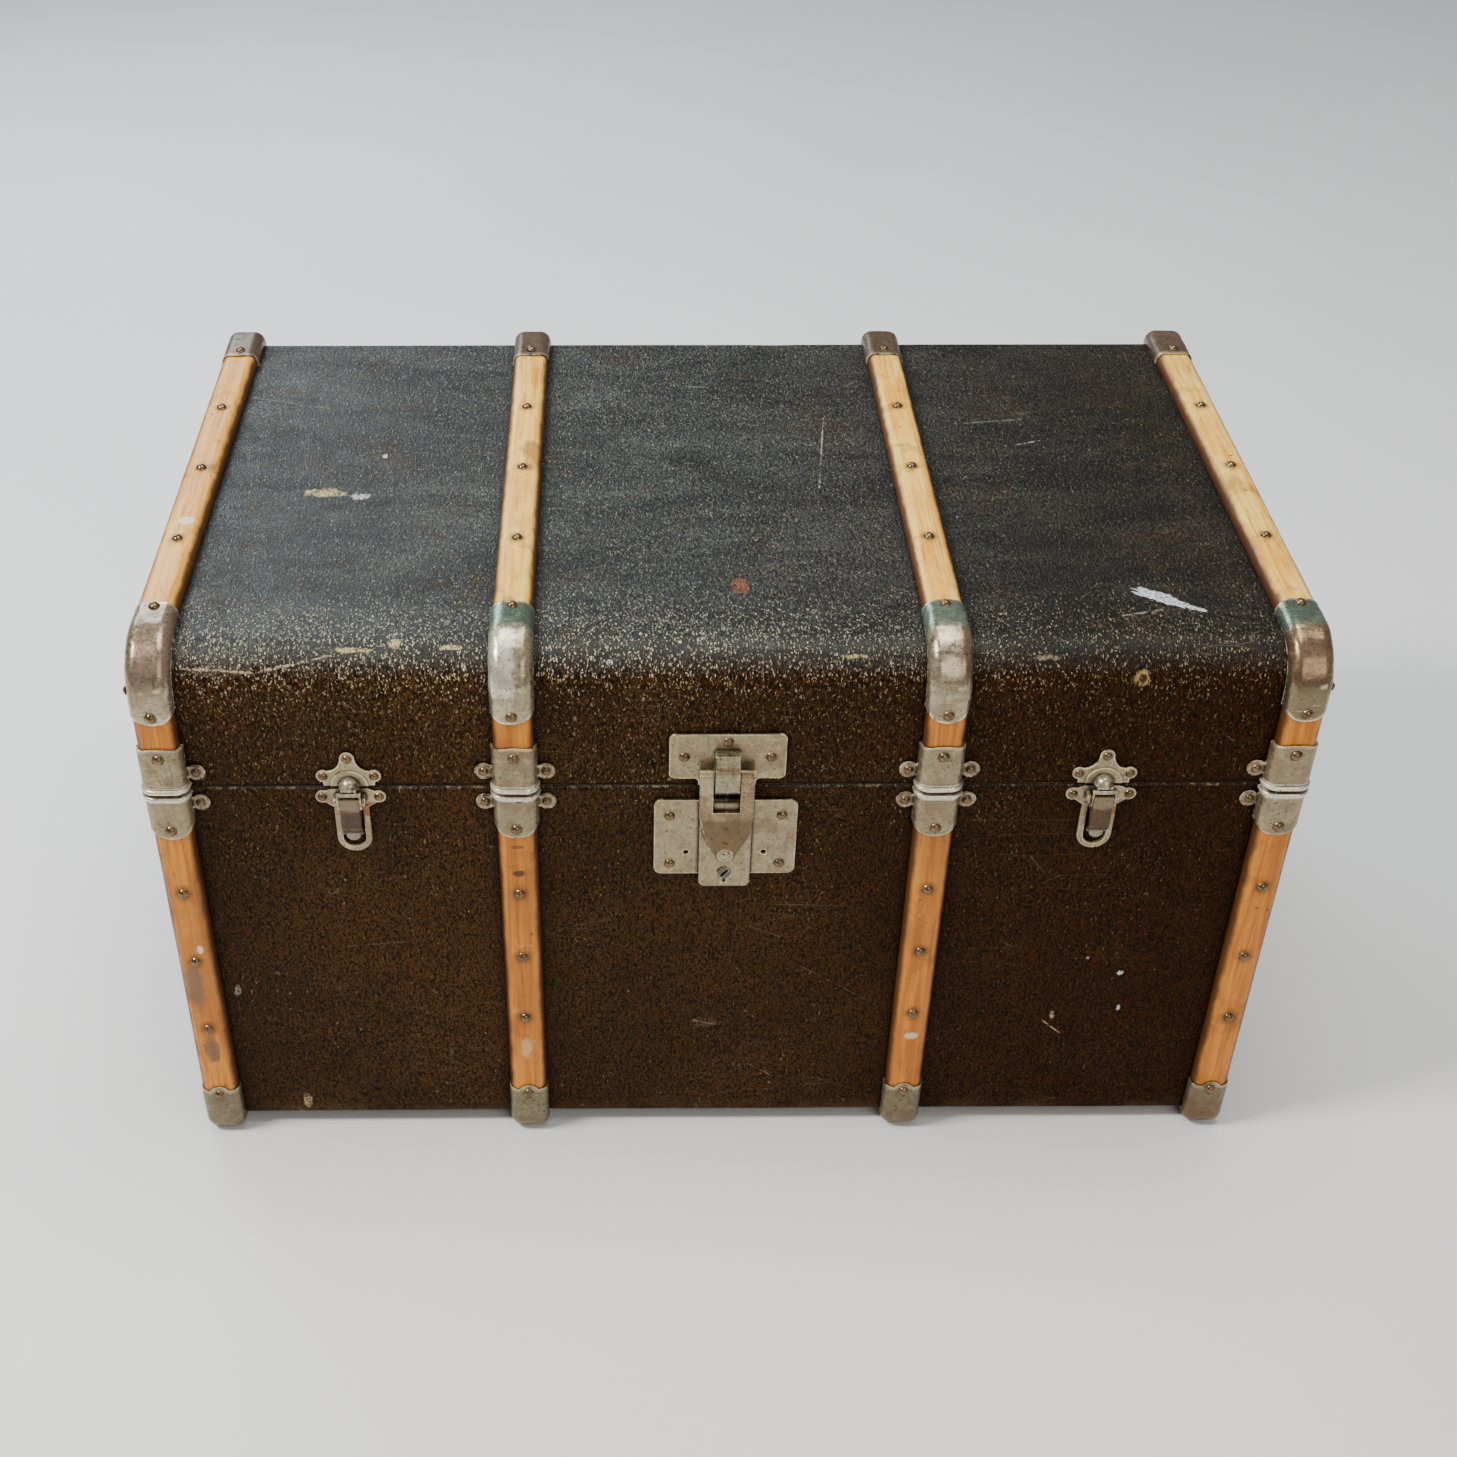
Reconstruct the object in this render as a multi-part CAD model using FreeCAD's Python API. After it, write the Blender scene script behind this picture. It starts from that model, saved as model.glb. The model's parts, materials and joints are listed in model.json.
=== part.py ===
import FreeCAD, Part
import math
import os

# Steamer trunk: a plywood box and lid under an embossed covering, strapped by four wooden slats
# with bent metal caps, sleeves, a centre lock, two star clasps, back hinges, end handles and a
# folding lid stay. Millimetres, +Z up, front towards -Y, origin under the middle of the trunk.

os.makedirs("parts", exist_ok=True)

V = FreeCAD.Vector

# ---- driving dimensions: heights are from a datum plane, DATUM above the floor ----------------
DATUM = 16.0
HALF_W = 430.0            # body, half width over the covering
HALF_D = 256.0            # body, half depth over the covering
BODY_BOTTOM = -4.0        # underside of the covering
BODY_TOP = 458.0          # top of the covering
SEAM = 344.0              # height of the gap between base and lid
SEAM_GAP = 0.5            # half of that gap
SKIN = 1.3                # covering thickness
PLY = 8.0                 # panel thickness
LINING = 0.7              # lining thickness
BEND_R = 32.0             # covering radius along the lid's front top edge
EDGE_R = 3.0              # covering radius along the other long edges

SLAT_X = (-415.0, -157.0, 157.0, 415.0)
SLAT_HALF = 15.0
SLAT_T = 10.8             # slat thickness
SLAT_ROUND = 8.0          # rounding of a slat's outer edges
METAL = 1.2               # sheet metal of caps and sleeves
CAP_HALF = 16.4           # half width over a cap
SLEEVE_HALF = 16.9        # half width over a sleeve
PROUD = SLAT_T + METAL    # from the covering to the outside of a cap

EAR_R, EAR_OUT, EAR_HALF = 7.0, 23.0, 5.0   # sleeve ears: lobe, distance from the slat, neck
EAR_IN = 9.0              # rivet of an ear that folds round a corner, in from the face
BEAD_H, BEAD_OUT = 4.6, 2.0                 # rolled bead of a front sleeve at the seam
NAIL_Z = {                # nails of each slat below the seam
    -415.0: (249.0, 178.5, 105.0), -157.0: (247.4, 182.2, 115.8),
    157.0: (250.2, 185.8, 118.4), 415.0: (251.0, 179.3, 112.2),
}
NAIL_Y = (-108.0, 4.0, 110.0)               # nails along the top
RIVET_R, RIVET_H = 4.2, 2.9
SMALL_R, SMALL_H = 3.5, 2.3
PLATE_RIVET_R, PLATE_RIVET_H = 4.0, 2.7

HINGE_Y, HINGE_Z = HALF_D + 10.0, 354.0
HINGE_X = (-285.0, 0.0, 285.0)
BARREL_R, HINGE_PIN_R, RUN = 6.0, 2.5, 0.05

CLASP_X = {"left": -280.0, "right": 280.0}
LEVER_Y, LEVER_Z = -HALF_D - 7.5, 335.0  # lever pivot of a clasp
LINK_R = 5.0                           # lever pivot to hook pivot
HASP_Y, HASP_Z = -HALF_D - 9.0, 361.0    # hasp crossbar

HANDLE_SIDE = {"left": -1, "right": 1}
HANDLE_X, HANDLE_Z = 442.0, 275.0      # handle pivot, distance from the middle and height
BAIL_Y, BAIL_DROP, BAIL_R = 79.0, 56.0, 3.5

STAY_BAR = 125.0                       # pivot spacing of both stay bars
STAY_UPPER_DEG, STAY_LOWER_DEG = 40.0, 155.0
WALL = SKIN + PLY + LINING


# ---- shape helpers ------------------------------------------------------------------------
def box(x0, x1, y0, y1, z0, z1):
    return Part.makeBox(x1 - x0, y1 - y0, z1 - z0, V(x0, y0, z0))


def rod(radius, start, axis, length):
    return Part.makeCylinder(radius, length, V(*start), V(*axis))


def fuse(shapes):
    """One solid from touching shapes."""
    return shapes[0].multiFuse(shapes[1:]).removeSplitter()


def round_edges(shape, radius, pick):
    return shape.makeFillet(radius, [e for e in shape.Edges if pick(e)])


def prism_x(points, x0, x1):
    """Polygon of (y, z) points drawn out along X."""
    wire = Part.makePolygon([V(x0, y, z) for y, z in points + points[:1]])
    return Part.Face(wire).extrude(V(x1 - x0, 0, 0))


def plate_y(points, y0, y1):
    """Polygon of (x, z) points drawn out along Y."""
    wire = Part.makePolygon([V(x, y0, z) for x, z in points + points[:1]])
    return Part.Face(wire).extrude(V(0, y1 - y0, 0))


def plate_curved(x, steps, y0, y1):
    """Plate along Y whose (x, z) outline takes one point for a line and two for an arc."""
    def at(point):
        return V(x + point[0], y0, point[1])

    edges, last = [], at(steps[0])
    for step in steps[1:]:
        if len(step) == 2 and isinstance(step[0], tuple):
            edges.append(Part.Arc(last, at(step[0]), at(step[1])).toShape())
            last = at(step[1])
        else:
            edges.append(Part.LineSegment(last, at(step)).toShape())
            last = at(step)
    edges.append(Part.LineSegment(last, at(steps[0])).toShape())
    return Part.Face(Part.Wire(edges)).extrude(V(0, y1 - y0, 0))


def save(name, *shapes):
    """Write one node: every solid of the shapes, checked."""
    solids = [solid for shape in shapes for solid in shape.Solids]
    if not solids or not all(s.isValid() and s.Volume > 0 for s in solids):
        raise ValueError("bad solid in " + name)
    whole = solids[0] if len(solids) == 1 else Part.makeCompound(solids)
    whole.translate(V(0, 0, DATUM))
    whole.exportStep("parts/%s.step" % name)


def dome(point, normal, radius=RIVET_R, height=RIVET_H):
    """Round rivet head standing on a surface point."""
    ball = (radius ** 2 + height ** 2) / (2 * height)
    arc_mid_deg = math.asin(radius / ball) / 2
    mid = V(ball * math.sin(arc_mid_deg), 0, height - ball + ball * math.cos(arc_mid_deg))
    edges = [Part.LineSegment(V(0, 0, 0), V(radius, 0, 0)).toShape(),
             Part.Arc(V(radius, 0, 0), mid, V(0, 0, height)).toShape(),
             Part.LineSegment(V(0, 0, height), V(0, 0, 0)).toShape()]
    head = Part.Face(Part.Wire(edges)).revolve(V(0, 0, 0), V(0, 0, 1), 360)
    head = Part.Solid(head) if head.ShapeType != "Solid" else head
    head.Placement = FreeCAD.Placement(V(*point), FreeCAD.Rotation(V(0, 0, 1), V(*normal)))
    return head


# ---- the trunk's faces: u runs along a slat, w stands out from the covering -----------------
FACES = {
    "front": lambda u, w: (-HALF_D - w, u),
    "back": lambda u, w: (HALF_D + w, u),
    "top": lambda u, w: (u, BODY_TOP + w),
    "bottom": lambda u, w: (u, BODY_BOTTOM - w),
}
NORMALS = {"front": (0, -1, 0), "back": (0, 1, 0), "top": (0, 0, 1), "bottom": (0, 0, -1)}


def strip(face, x, half, u0, u1, w0, w1, rounding=0.0):
    """Bar lying along a slat, with its two outer long edges rounded."""
    ya, za = FACES[face](u0, w0)
    yb, zb = FACES[face](u1, w1)
    bar = box(x - half, x + half, min(ya, yb), max(ya, yb), min(za, zb), max(za, zb))
    if not rounding:
        return bar
    across, value = (1, yb) if face in ("front", "back") else (2, zb)

    def outer_side(edge):
        c = edge.CenterOfMass
        return abs(c[across] - value) < 0.01 and abs(abs(c.x - x) - half) < 0.01

    return round_edges(bar, rounding, outer_side)


def on_face(face, x, u, w, radius=RIVET_R, height=RIVET_H):
    """Rivet head on a trunk face."""
    y, z = FACES[face](u, w)
    return dome((x, y, z), NORMALS[face], radius, height)


def bend(x, half, side, lid_side, radius, y_end, z_end, w0, w1, rounding=0.0):
    """Band that goes round a long edge of the body, between heights w0 and w1 above it."""
    face_y, face_z = side * HALF_D, BODY_TOP if lid_side > 0 else BODY_BOTTOM
    cy, cz = face_y - side * radius, face_z - lid_side * radius

    def rim(w):
        r = radius + w
        mid = V(x - half, cy + side * r * math.sqrt(0.5), cz + lid_side * r * math.sqrt(0.5))
        return V(x - half, cy, cz + lid_side * r), mid, V(x - half, cy + side * r, cz)

    (top_o, mid_o, low_o), (top_i, mid_i, low_i) = rim(w1), rim(w0)
    end_o, end_i = V(x - half, y_end, top_o.z), V(x - half, y_end, top_i.z)
    foot_o, foot_i = V(x - half, low_o.y, z_end), V(x - half, low_i.y, z_end)
    edges = [Part.LineSegment(end_o, top_o).toShape(), Part.Arc(top_o, mid_o, low_o).toShape(),
             Part.LineSegment(low_o, foot_o).toShape(), Part.LineSegment(foot_o, foot_i).toShape(),
             Part.LineSegment(foot_i, low_i).toShape(), Part.Arc(low_i, mid_i, top_i).toShape(),
             Part.LineSegment(top_i, end_i).toShape(), Part.LineSegment(end_i, end_o).toShape()]
    band = Part.Face(Part.Wire(edges)).extrude(V(2 * half, 0, 0))
    if not rounding:
        return band
    outer = [edges[0], edges[1], edges[2]]

    def on_outer_rim(edge):
        c = edge.CenterOfMass
        flat = V(x - half, c.y, c.z)
        return abs(abs(c.x - x) - half) < 0.01 and any(
            (flat - o.CenterOfMass).Length < 0.01 for o in outer)

    return round_edges(band, rounding, on_outer_rim)


def trim_end(shape, face, x, apex, shoulder, radius):
    """Cut the end of a cap or sleeve to a round lobe of this radius that ends at the apex."""
    way = 1 if apex > shoulder else -1
    reach = 30.0
    lo, hi = sorted((shoulder, shoulder + way * reach))
    waste = strip(face, x, reach, lo, hi, -reach, reach)
    y, z = FACES[face](apex - way * radius, -reach)
    lobe = rod(radius, (x, y, z), NORMALS[face], 2 * reach)
    return shape.cut(waste.cut(lobe))


# ---- body panels, covering and lining --------------------------------------------------------
def lid_profile(inset, x0, x1):
    """Solid of the lid's section, drawn in by an inset, between two widths."""
    front, back, top = -HALF_D + inset, HALF_D - inset, BODY_TOP - inset
    r, e = BEND_R - inset, max(EDGE_R - inset, 0.6)
    low = SEAM + SEAM_GAP
    d = math.sqrt(0.5)
    pts = [V(x0, front, low), V(x0, front, top - r),
           V(x0, front + r, top), V(x0, back - e, top), V(x0, back, top - e), V(x0, back, low)]
    front_mid = V(x0, front + r - r * d, top - r + r * d)
    back_mid = V(x0, back - e + e * d, top - e + e * d)
    edges = [Part.LineSegment(pts[0], pts[1]).toShape(),
             Part.Arc(pts[1], front_mid, pts[2]).toShape(),
             Part.LineSegment(pts[2], pts[3]).toShape(), Part.Arc(pts[3], back_mid, pts[4]).toShape(),
             Part.LineSegment(pts[4], pts[5]).toShape(), Part.LineSegment(pts[5], pts[0]).toShape()]
    return Part.Face(Part.Wire(edges)).extrude(V(x1 - x0, 0, 0))


def lid_shell(inset, thickness):
    outer = lid_profile(inset, -HALF_W + inset, HALF_W - inset)
    deep = inset + thickness
    inner = lid_profile(deep, -HALF_W + deep, HALF_W - deep)
    return outer.cut(inner)


def base_block(inset, top=SEAM - SEAM_GAP):
    block = box(-HALF_W + inset, HALF_W - inset, -HALF_D + inset, HALF_D - inset,
                BODY_BOTTOM + inset, top)
    radius = EDGE_R - inset
    if radius < 0.5:
        return block

    def long_bottom(edge):
        c = edge.CenterOfMass
        return abs(c.x) < 0.01 and c.z < BODY_BOTTOM + inset + 0.01

    return round_edges(block, radius, long_bottom)


def make_base_body():
    deep = SKIN + PLY
    x, y, z, top = HALF_W - SKIN, HALF_D - SKIN, BODY_BOTTOM + SKIN, SEAM - SEAM_GAP
    save("base_bottom_panel", base_block(SKIN, z + PLY))
    for name, sign in (("front", -1), ("back", 1)):
        near, far = sorted((sign * y, sign * (y - PLY)))
        save("base_%s_panel" % name, box(-x, x, near, far, z + PLY, top))
    for name, sign in HANDLE_SIDE.items():
        near, far = sorted((sign * x, sign * (x - PLY)))
        save("base_%s_panel" % name, box(near, far, -y + PLY, y - PLY, z + PLY, top))
    save("base_covering", base_block(0.0).cut(base_block(SKIN, top + 1)))
    room = box(-HALF_W + WALL, HALF_W - WALL, -HALF_D + WALL, HALF_D - WALL,
               BODY_BOTTOM + WALL, top + 1)
    save("base_lining", box(-HALF_W + deep, HALF_W - deep, -HALF_D + deep, HALF_D - deep,
                            BODY_BOTTOM + deep, top).cut(room))


def make_lip():
    """Thin board inside the front and ends that the lid closes over."""
    gap, board, low, high, back = 0.3, 3.0, SEAM - 26, SEAM + 12, HALF_D - 30
    x, y = HALF_W - WALL - gap, HALF_D - WALL - gap
    outer = box(-x, x, -y, back, low, high)
    save("base_lip", outer.cut(box(-x + board, x - board, -y + board, back + 1, low - 1, high + 1)))


def make_lid_body():
    deep = SKIN + PLY
    x, y, low, top = HALF_W - SKIN, HALF_D - SKIN, SEAM + SEAM_GAP, BODY_TOP - SKIN
    turn = BODY_TOP - BEND_R
    save("lid_front_panel", box(-x + PLY, x - PLY, -y, -y + PLY, low, turn))
    save("lid_top_panel", box(-x + PLY, x - PLY, -HALF_D + BEND_R, y - PLY, top - PLY, top))
    back = lid_profile(SKIN, -x + PLY, x - PLY)
    save("lid_back_panel", back.common(box(-x, x, y - PLY, y + 1, low, top)))
    ring = lid_profile(SKIN, -x + PLY, x - PLY).cut(lid_profile(deep, -x, x))
    save("lid_bend_panel", ring.common(box(-x, x, -y, -HALF_D + BEND_R, turn, top)))
    for name, sign in HANDLE_SIDE.items():
        near, far = sorted((sign * x, sign * (x - PLY)))
        save("lid_%s_panel" % name, lid_profile(SKIN, near, far))
    save("lid_covering", lid_shell(0.0, SKIN))
    save("lid_lining", lid_shell(deep, LINING))


# ---- slats with their caps and sleeves ---------------------------------------------------------
FRONT_TURN = BODY_TOP - BEND_R          # where the bend starts on the front
CAP_TOP_LEG, CAP_FRONT_LEG = 68.0, 63.0 # legs of a front corner cap, from the outer planes
CAP_LOBE, LOBE_R, SHALLOW_R = 10.0, 20.0, 45.0   # round ends: length, radius, radius of shallow ones
CAP_BACK = 60.0                         # leg of a small cap, from the outer plane
LOW_CAP = 39.0                          # height of the bottom caps
SMALL_TURN = EDGE_R                     # small caps start their bend this far in


def make_slats():
    low, high = BODY_BOTTOM + SMALL_TURN, SEAM - SEAM_GAP
    lid_low, back = SEAM + SEAM_GAP, HALF_D - SMALL_TURN

    def set_of(face, u0, u1):
        return [strip(face, x, SLAT_HALF, u0, u1, 0, SLAT_T, SLAT_ROUND) for x in SLAT_X]

    save("base_front_slats", *set_of("front", low, high))
    save("base_back_slats", *set_of("back", low, high))
    save("bottom_slats", *set_of("bottom", -back, back))
    save("lid_front_slats", *set_of("front", lid_low, FRONT_TURN))
    save("lid_top_slats", *set_of("top", -HALF_D + BEND_R, back))
    save("lid_back_slats", *set_of("back", lid_low, BODY_TOP - SMALL_TURN))


def cap(x, side, lid_side, radius, y_end, z_end):
    """Channel of sheet metal bent round a long edge, over the slat ends."""
    shell = bend(x, CAP_HALF, side, lid_side, radius, y_end, z_end, 0.1, PROUD, SLAT_ROUND + METAL)
    hollow = bend(x, SLAT_HALF + 0.1, side, lid_side, radius, y_end, z_end, -1.0, SLAT_T + 0.05,
                  SLAT_ROUND)
    return shell.cut(hollow)


def make_caps():
    outer_y, outer_z = HALF_D + PROUD, BODY_TOP + PROUD
    front, backs, lows = [], [], []
    for x in SLAT_X:
        leg_y, leg_z = -outer_y + CAP_TOP_LEG, outer_z - CAP_FRONT_LEG
        c = trim_end(cap(x, -1, 1, BEND_R, leg_y, leg_z), "front", x, leg_z, leg_z + CAP_LOBE, LOBE_R)
        front.append(trim_end(c, "top", x, leg_y, leg_y - 3, SHALLOW_R))
        c = cap(x, 1, 1, EDGE_R, outer_y - CAP_BACK, outer_z - CAP_BACK)
        c = trim_end(c, "back", x, outer_z - CAP_BACK, outer_z - CAP_BACK + CAP_LOBE, LOBE_R)
        backs.append(trim_end(c, "top", x, outer_y - CAP_BACK, outer_y - CAP_BACK + 3, SHALLOW_R))
        for side, face in ((-1, "front"), (1, "back")):
            c = cap(x, side, -1, EDGE_R, side * (outer_y - CAP_BACK), LOW_CAP)
            lows.append(trim_end(c, face, x, LOW_CAP, LOW_CAP - 5, 9.0))
    save("lid_corner_caps", *front)
    save("lid_back_caps", *backs)
    save("bottom_caps", *lows)


def sleeve(face, x, z_seam, z_end, ear_z, lobe, bead):
    """Channel over a slat end at the seam, with ears riveted to the body beside it."""
    way = 1 if z_end > z_seam else -1
    lo, hi = sorted((z_seam, z_end))
    body = strip(face, x, SLEEVE_HALF, lo, hi, 0.1, PROUD, SLAT_ROUND + METAL)
    body = trim_end(body, face, x, z_end, z_end - way * lobe[0], lobe[1])
    pieces = [body]
    if bead:
        b0, b1 = sorted((z_seam, z_seam + way * BEAD_H))
        ring = strip(face, x, SLEEVE_HALF + BEAD_OUT - 0.3, b0, b1, 0.1, PROUD + BEAD_OUT,
                     SLAT_ROUND + METAL + BEAD_OUT)
        y_out = FACES[face](0, PROUD + BEAD_OUT)[0]
        ring = round_edges(ring, 2.1, lambda e: abs(e.CenterOfMass.y - y_out) < 0.01
                           and abs(e.CenterOfMass.x - x) < 1)
        pieces.append(ring)
    for sign in (-1, 1):
        if abs(x + sign * (SLAT_HALF + 7)) < HALF_W:
            ear_x = x + sign * EAR_OUT
            y, z = FACES[face](ear_z, 0.1)
            pieces.append(rod(EAR_R, (ear_x, y, z), NORMALS[face], METAL))
            x0, x1 = sorted((x + sign * SLAT_HALF, ear_x))
            y0, y1 = sorted((y, y + NORMALS[face][1] * METAL))
            pieces.append(box(x0, x1, y0, y1, z - EAR_HALF, z + EAR_HALF))
        else:
            edge = x + sign * SLEEVE_HALF
            x0, x1 = sorted((edge, edge - sign * (SLEEVE_HALF - SLAT_HALF - 0.15)))
            s = NORMALS[face][1]
            y0, y1 = sorted((s * (HALF_D - EAR_IN), s * (HALF_D + 3)))
            pieces.append(box(x0, x1, y0, y1, ear_z - EAR_HALF, ear_z + EAR_HALF))
            pieces.append(rod(EAR_R, (x0, s * (HALF_D - EAR_IN), ear_z), (1, 0, 0), x1 - x0))
    shape = fuse(pieces)
    return shape.cut(strip(face, x, SLAT_HALF + 0.1, lo - 60, hi + 60, -3.0, SLAT_T + 0.05, SLAT_ROUND))


def make_sleeves():
    rows = {
        "lid_front_sleeves": ("front", SEAM + 1.0, 386.0, 358.0, (3.1, SHALLOW_R), True),
        "base_front_sleeves": ("front", SEAM - 1.0, 303.0, 330.0, (CAP_LOBE, LOBE_R), True),
        "lid_back_sleeves": ("back", SEAM + 5.0, 386.0, 364.0, (3.1, SHALLOW_R), False),
        "base_back_sleeves": ("back", SEAM - 2.0, 303.0, 330.0, (CAP_LOBE, LOBE_R), False),
    }
    for name, row in rows.items():
        face, seam, end, ear, lobe, bead = row
        save(name, *[sleeve(face, x, seam, end, ear, lobe, bead) for x in SLAT_X])


# ---- centre lock -------------------------------------------------------------------------------
PLATE_Y = -HALF_D - 2.0                 # front of the lock plates
LOCK_Y = PLATE_Y - 4.0                  # front of the lock box


def make_lock():
    bar = round_edges(box(-43.3, 43.3, PLATE_Y, -HALF_D, 351, 391), 5.0,
                      lambda e: abs(e.CenterOfMass.y - (PLATE_Y - HALF_D) / 2) < 0.01)
    neck = plate_curved(0, [(-21.5, 345), (21.5, 345), (21.5, 348), ((22.4, 350.1), (24.5, 351)),
                            (24.5, 353), (-24.5, 353), (-24.5, 351), ((-22.4, 350.1), (-21.5, 348))],
                        PLATE_Y, -HALF_D)
    save("lock_top_plate", fuse([bar, neck]))

    wide, front = 9.3, -HALF_D - 16.0
    loop = prism_x([(PLATE_Y, 376.8), (front + 5.7, 376.8), (front, 368.4), (front, 348.5),
                    (front + 3, 344.5), (PLATE_Y, 344.5)], -wide, wide)
    loop = round_edges(loop, 1.2, lambda e: e.CenterOfMass.y < front + 5.8
                       and abs(abs(e.CenterOfMass.x) - wide) < 0.01)
    hollow = prism_x([(PLATE_Y + 1, 374.3), (front + 6.7, 374.3), (front + 2.5, 367.6),
                      (front + 2.5, 350.5), (front + 4.5, 347), (PLATE_Y + 1, 347)],
                     -wide - 1, wide + 1)
    save("lock_bridge", loop.cut(hollow))

    plate = round_edges(box(-54, 54, PLATE_Y, -HALF_D, 260, 331), 6.0,
                        lambda e: abs(e.CenterOfMass.y - (PLATE_Y - HALF_D) / 2) < 0.01)
    for x in (-29.5, 29.5):
        plate = plate.cut(rod(2.1, (x, PLATE_Y - 1, 281), (0, 1, 0), 4))
    save("lock_base_plate", plate)

    shell = box(-19.75, 19.75, LOCK_Y, PLATE_Y, 250, 331)
    shell = fuse([shell, box(-19.75, 19.75, PLATE_Y, -HALF_D, 250, 260)])
    shell = round_edges(shell, 5.0, lambda e: e.CenterOfMass.z < 252
                        and abs(abs(e.CenterOfMass.x) - 19.75) < 0.01 and e.Length < 7)
    shell = round_edges(shell, 1.2, lambda e: abs(e.CenterOfMass.y - LOCK_Y) < 0.01)
    shell = shell.cut(box(-5.6, 5.6, LOCK_Y - 1, PLATE_Y - 0.6, 297, 311))
    shell = shell.cut(rod(5.55, (0, LOCK_Y - 1, 264), (0, 1, 0), 4.4))
    save("lock_box", shell.cut(box(-1.1, 1.1, LOCK_Y - 1, LOCK_Y + 2.4, 254.4, 260)))

    plug = rod(5.5, (0, LOCK_Y - 0.8, 264), (0, 1, 0), 4.0)
    slot = box(-0.95, 0.95, LOCK_Y - 2, LOCK_Y + 1.2, 259.8, 268.2)
    slot.rotate(V(0, 0, 264), V(0, 1, 0), 40)
    save("lock_key_plug", plug.cut(slot))


def make_hasp():
    """Hinged tongue: crossbar, window for the bridge, pointed plate and a staple behind it."""
    back, front = LOCK_Y - 0.3, LOCK_Y - 3.3
    plate = plate_curved(0, [(-20.5, HASP_Z - 1), (20.5, HASP_Z - 1), (20.5, 322),
                             ((17.4, 305), (9.5, 288)), (6.6, 282.4), ((0, 277), (-6.6, 282.4)),
                             (-9.5, 288), ((-17.4, 305), (-20.5, 322))], front, back)
    plate = round_edges(plate, 0.8, lambda e: abs(e.CenterOfMass.y - front) < 0.01
                        and e.CenterOfMass.z < HASP_Z - 2)
    plate = plate.cut(box(-10.2, 10.2, front - 1, back + 1, 324, HASP_Z + 5))
    bar = rod(3.0, (-20.5, HASP_Y, HASP_Z), (1, 0, 0), 41.0)
    staple = box(-4.8, 4.8, back, back + 3.6, 299, 309)
    pip = dome((0, front, 283.5), (0, -1, 0), 4.4, 2.4)
    nails = [dome((0, front, z), (0, -1, 0), 2.2, 1.2) for z in (308, 294)]
    body = fuse([plate, bar, staple, pip] + nails)
    save("hasp", body)


# ---- star clasps -------------------------------------------------------------------------------
CLASP_T = 1.4
DOME_R, DOME_WALL, DOME_Y, DOME_Z = 7.4, 1.5, -HALF_D - 3.5, 346.2


def star_plate(x):
    """Three-lobed plate on the lid, embossed in an arch, with a keeper for the draw hook."""
    y = -HALF_D - CLASP_T
    seam = SEAM + 1.5
    web = plate_curved(x, [(-19, seam), (19, seam), (19.5, 350), (18.3, 358.5),
                           ((11.5, 359.5), (7.4, 363.5)), (5, 369.5), (-5, 369.5), (-7.4, 363.5),
                           ((-11.5, 359.5), (-18.3, 358.5)), (-19.5, 350)], y, y + CLASP_T)
    lobes = [rod(5.6, (x, y, 369.5), (0, 1, 0), CLASP_T)]
    lobes += [rod(5.2, (x + s * 18.8, y, 354), (0, 1, 0), CLASP_T) for s in (-1, 1)]
    arch = rod(14.0, (x, y - 0.8, seam), (0, 1, 0), 1.2)
    arch = arch.cut(box(x - 15, x + 15, y - 2, y + 2, seam - 15, seam))
    keeper = rod(4.6, (x, DOME_Y - 1.5, DOME_Z), (0, 1, 0), y - DOME_Y + 1.5)
    keeper = keeper.cut(box(x - 6, x + 6, DOME_Y - 5, y + 1, DOME_Z - 10, DOME_Z + 0.6))
    return fuse([web, arch, keeper] + lobes)


def clasp_base_plate(x):
    """Winged plate with a ring below it and two lugs for the lever."""
    y = -HALF_D - CLASP_T
    wings = [rod(5.2, (x + s * 21, y, 335), (0, 1, 0), CLASP_T) for s in (-1, 1)]
    bar = plate_y([(x - 21, 339), (x - 13, 342.5), (x + 13, 342.5), (x + 21, 339), (x + 20, 330.5),
                   (x + 13.5, 326), (x - 13.5, 326), (x - 20, 330.5)], y, y + CLASP_T)
    ring = fuse([rod(13.2, (x, y - 0.8, 297), (0, 1, 0), CLASP_T + 0.8),
                 box(x - 13.2, x + 13.2, y - 0.8, y + CLASP_T, 297, 327)])
    ring = round_edges(ring, 0.9, lambda e: abs(e.CenterOfMass.y - y + 0.8) < 0.01
                       and e.CenterOfMass.z < 326)
    window = fuse([rod(8.6, (x, y - 2, 297), (0, 1, 0), 5),
                   box(x - 8.6, x + 8.6, y - 2, y + 3, 297, 325)])
    plate = fuse(wings + [bar, ring.cut(window)])
    lugs = []
    for s in (-1, 1):
        x0, x1 = sorted((x + s * 9.4, x + s * 11.4))
        ear = fuse([rod(3.6, (x0, LEVER_Y, LEVER_Z), (1, 0, 0), x1 - x0),
                    box(x0, x1, LEVER_Y, y, LEVER_Z - 3.6, LEVER_Z + 3.6)])
        lugs.append(ear.cut(rod(1.5, (x0 - 1, LEVER_Y, LEVER_Z), (1, 0, 0), 4)))
    return fuse([plate] + lugs)


def lever_pins(x):
    return [rod(1.5, (min(x + s * 5.8, x + s * 11.6), LEVER_Y, LEVER_Z), (1, 0, 0), 5.8)
            for s in (-1, 1)]


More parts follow.
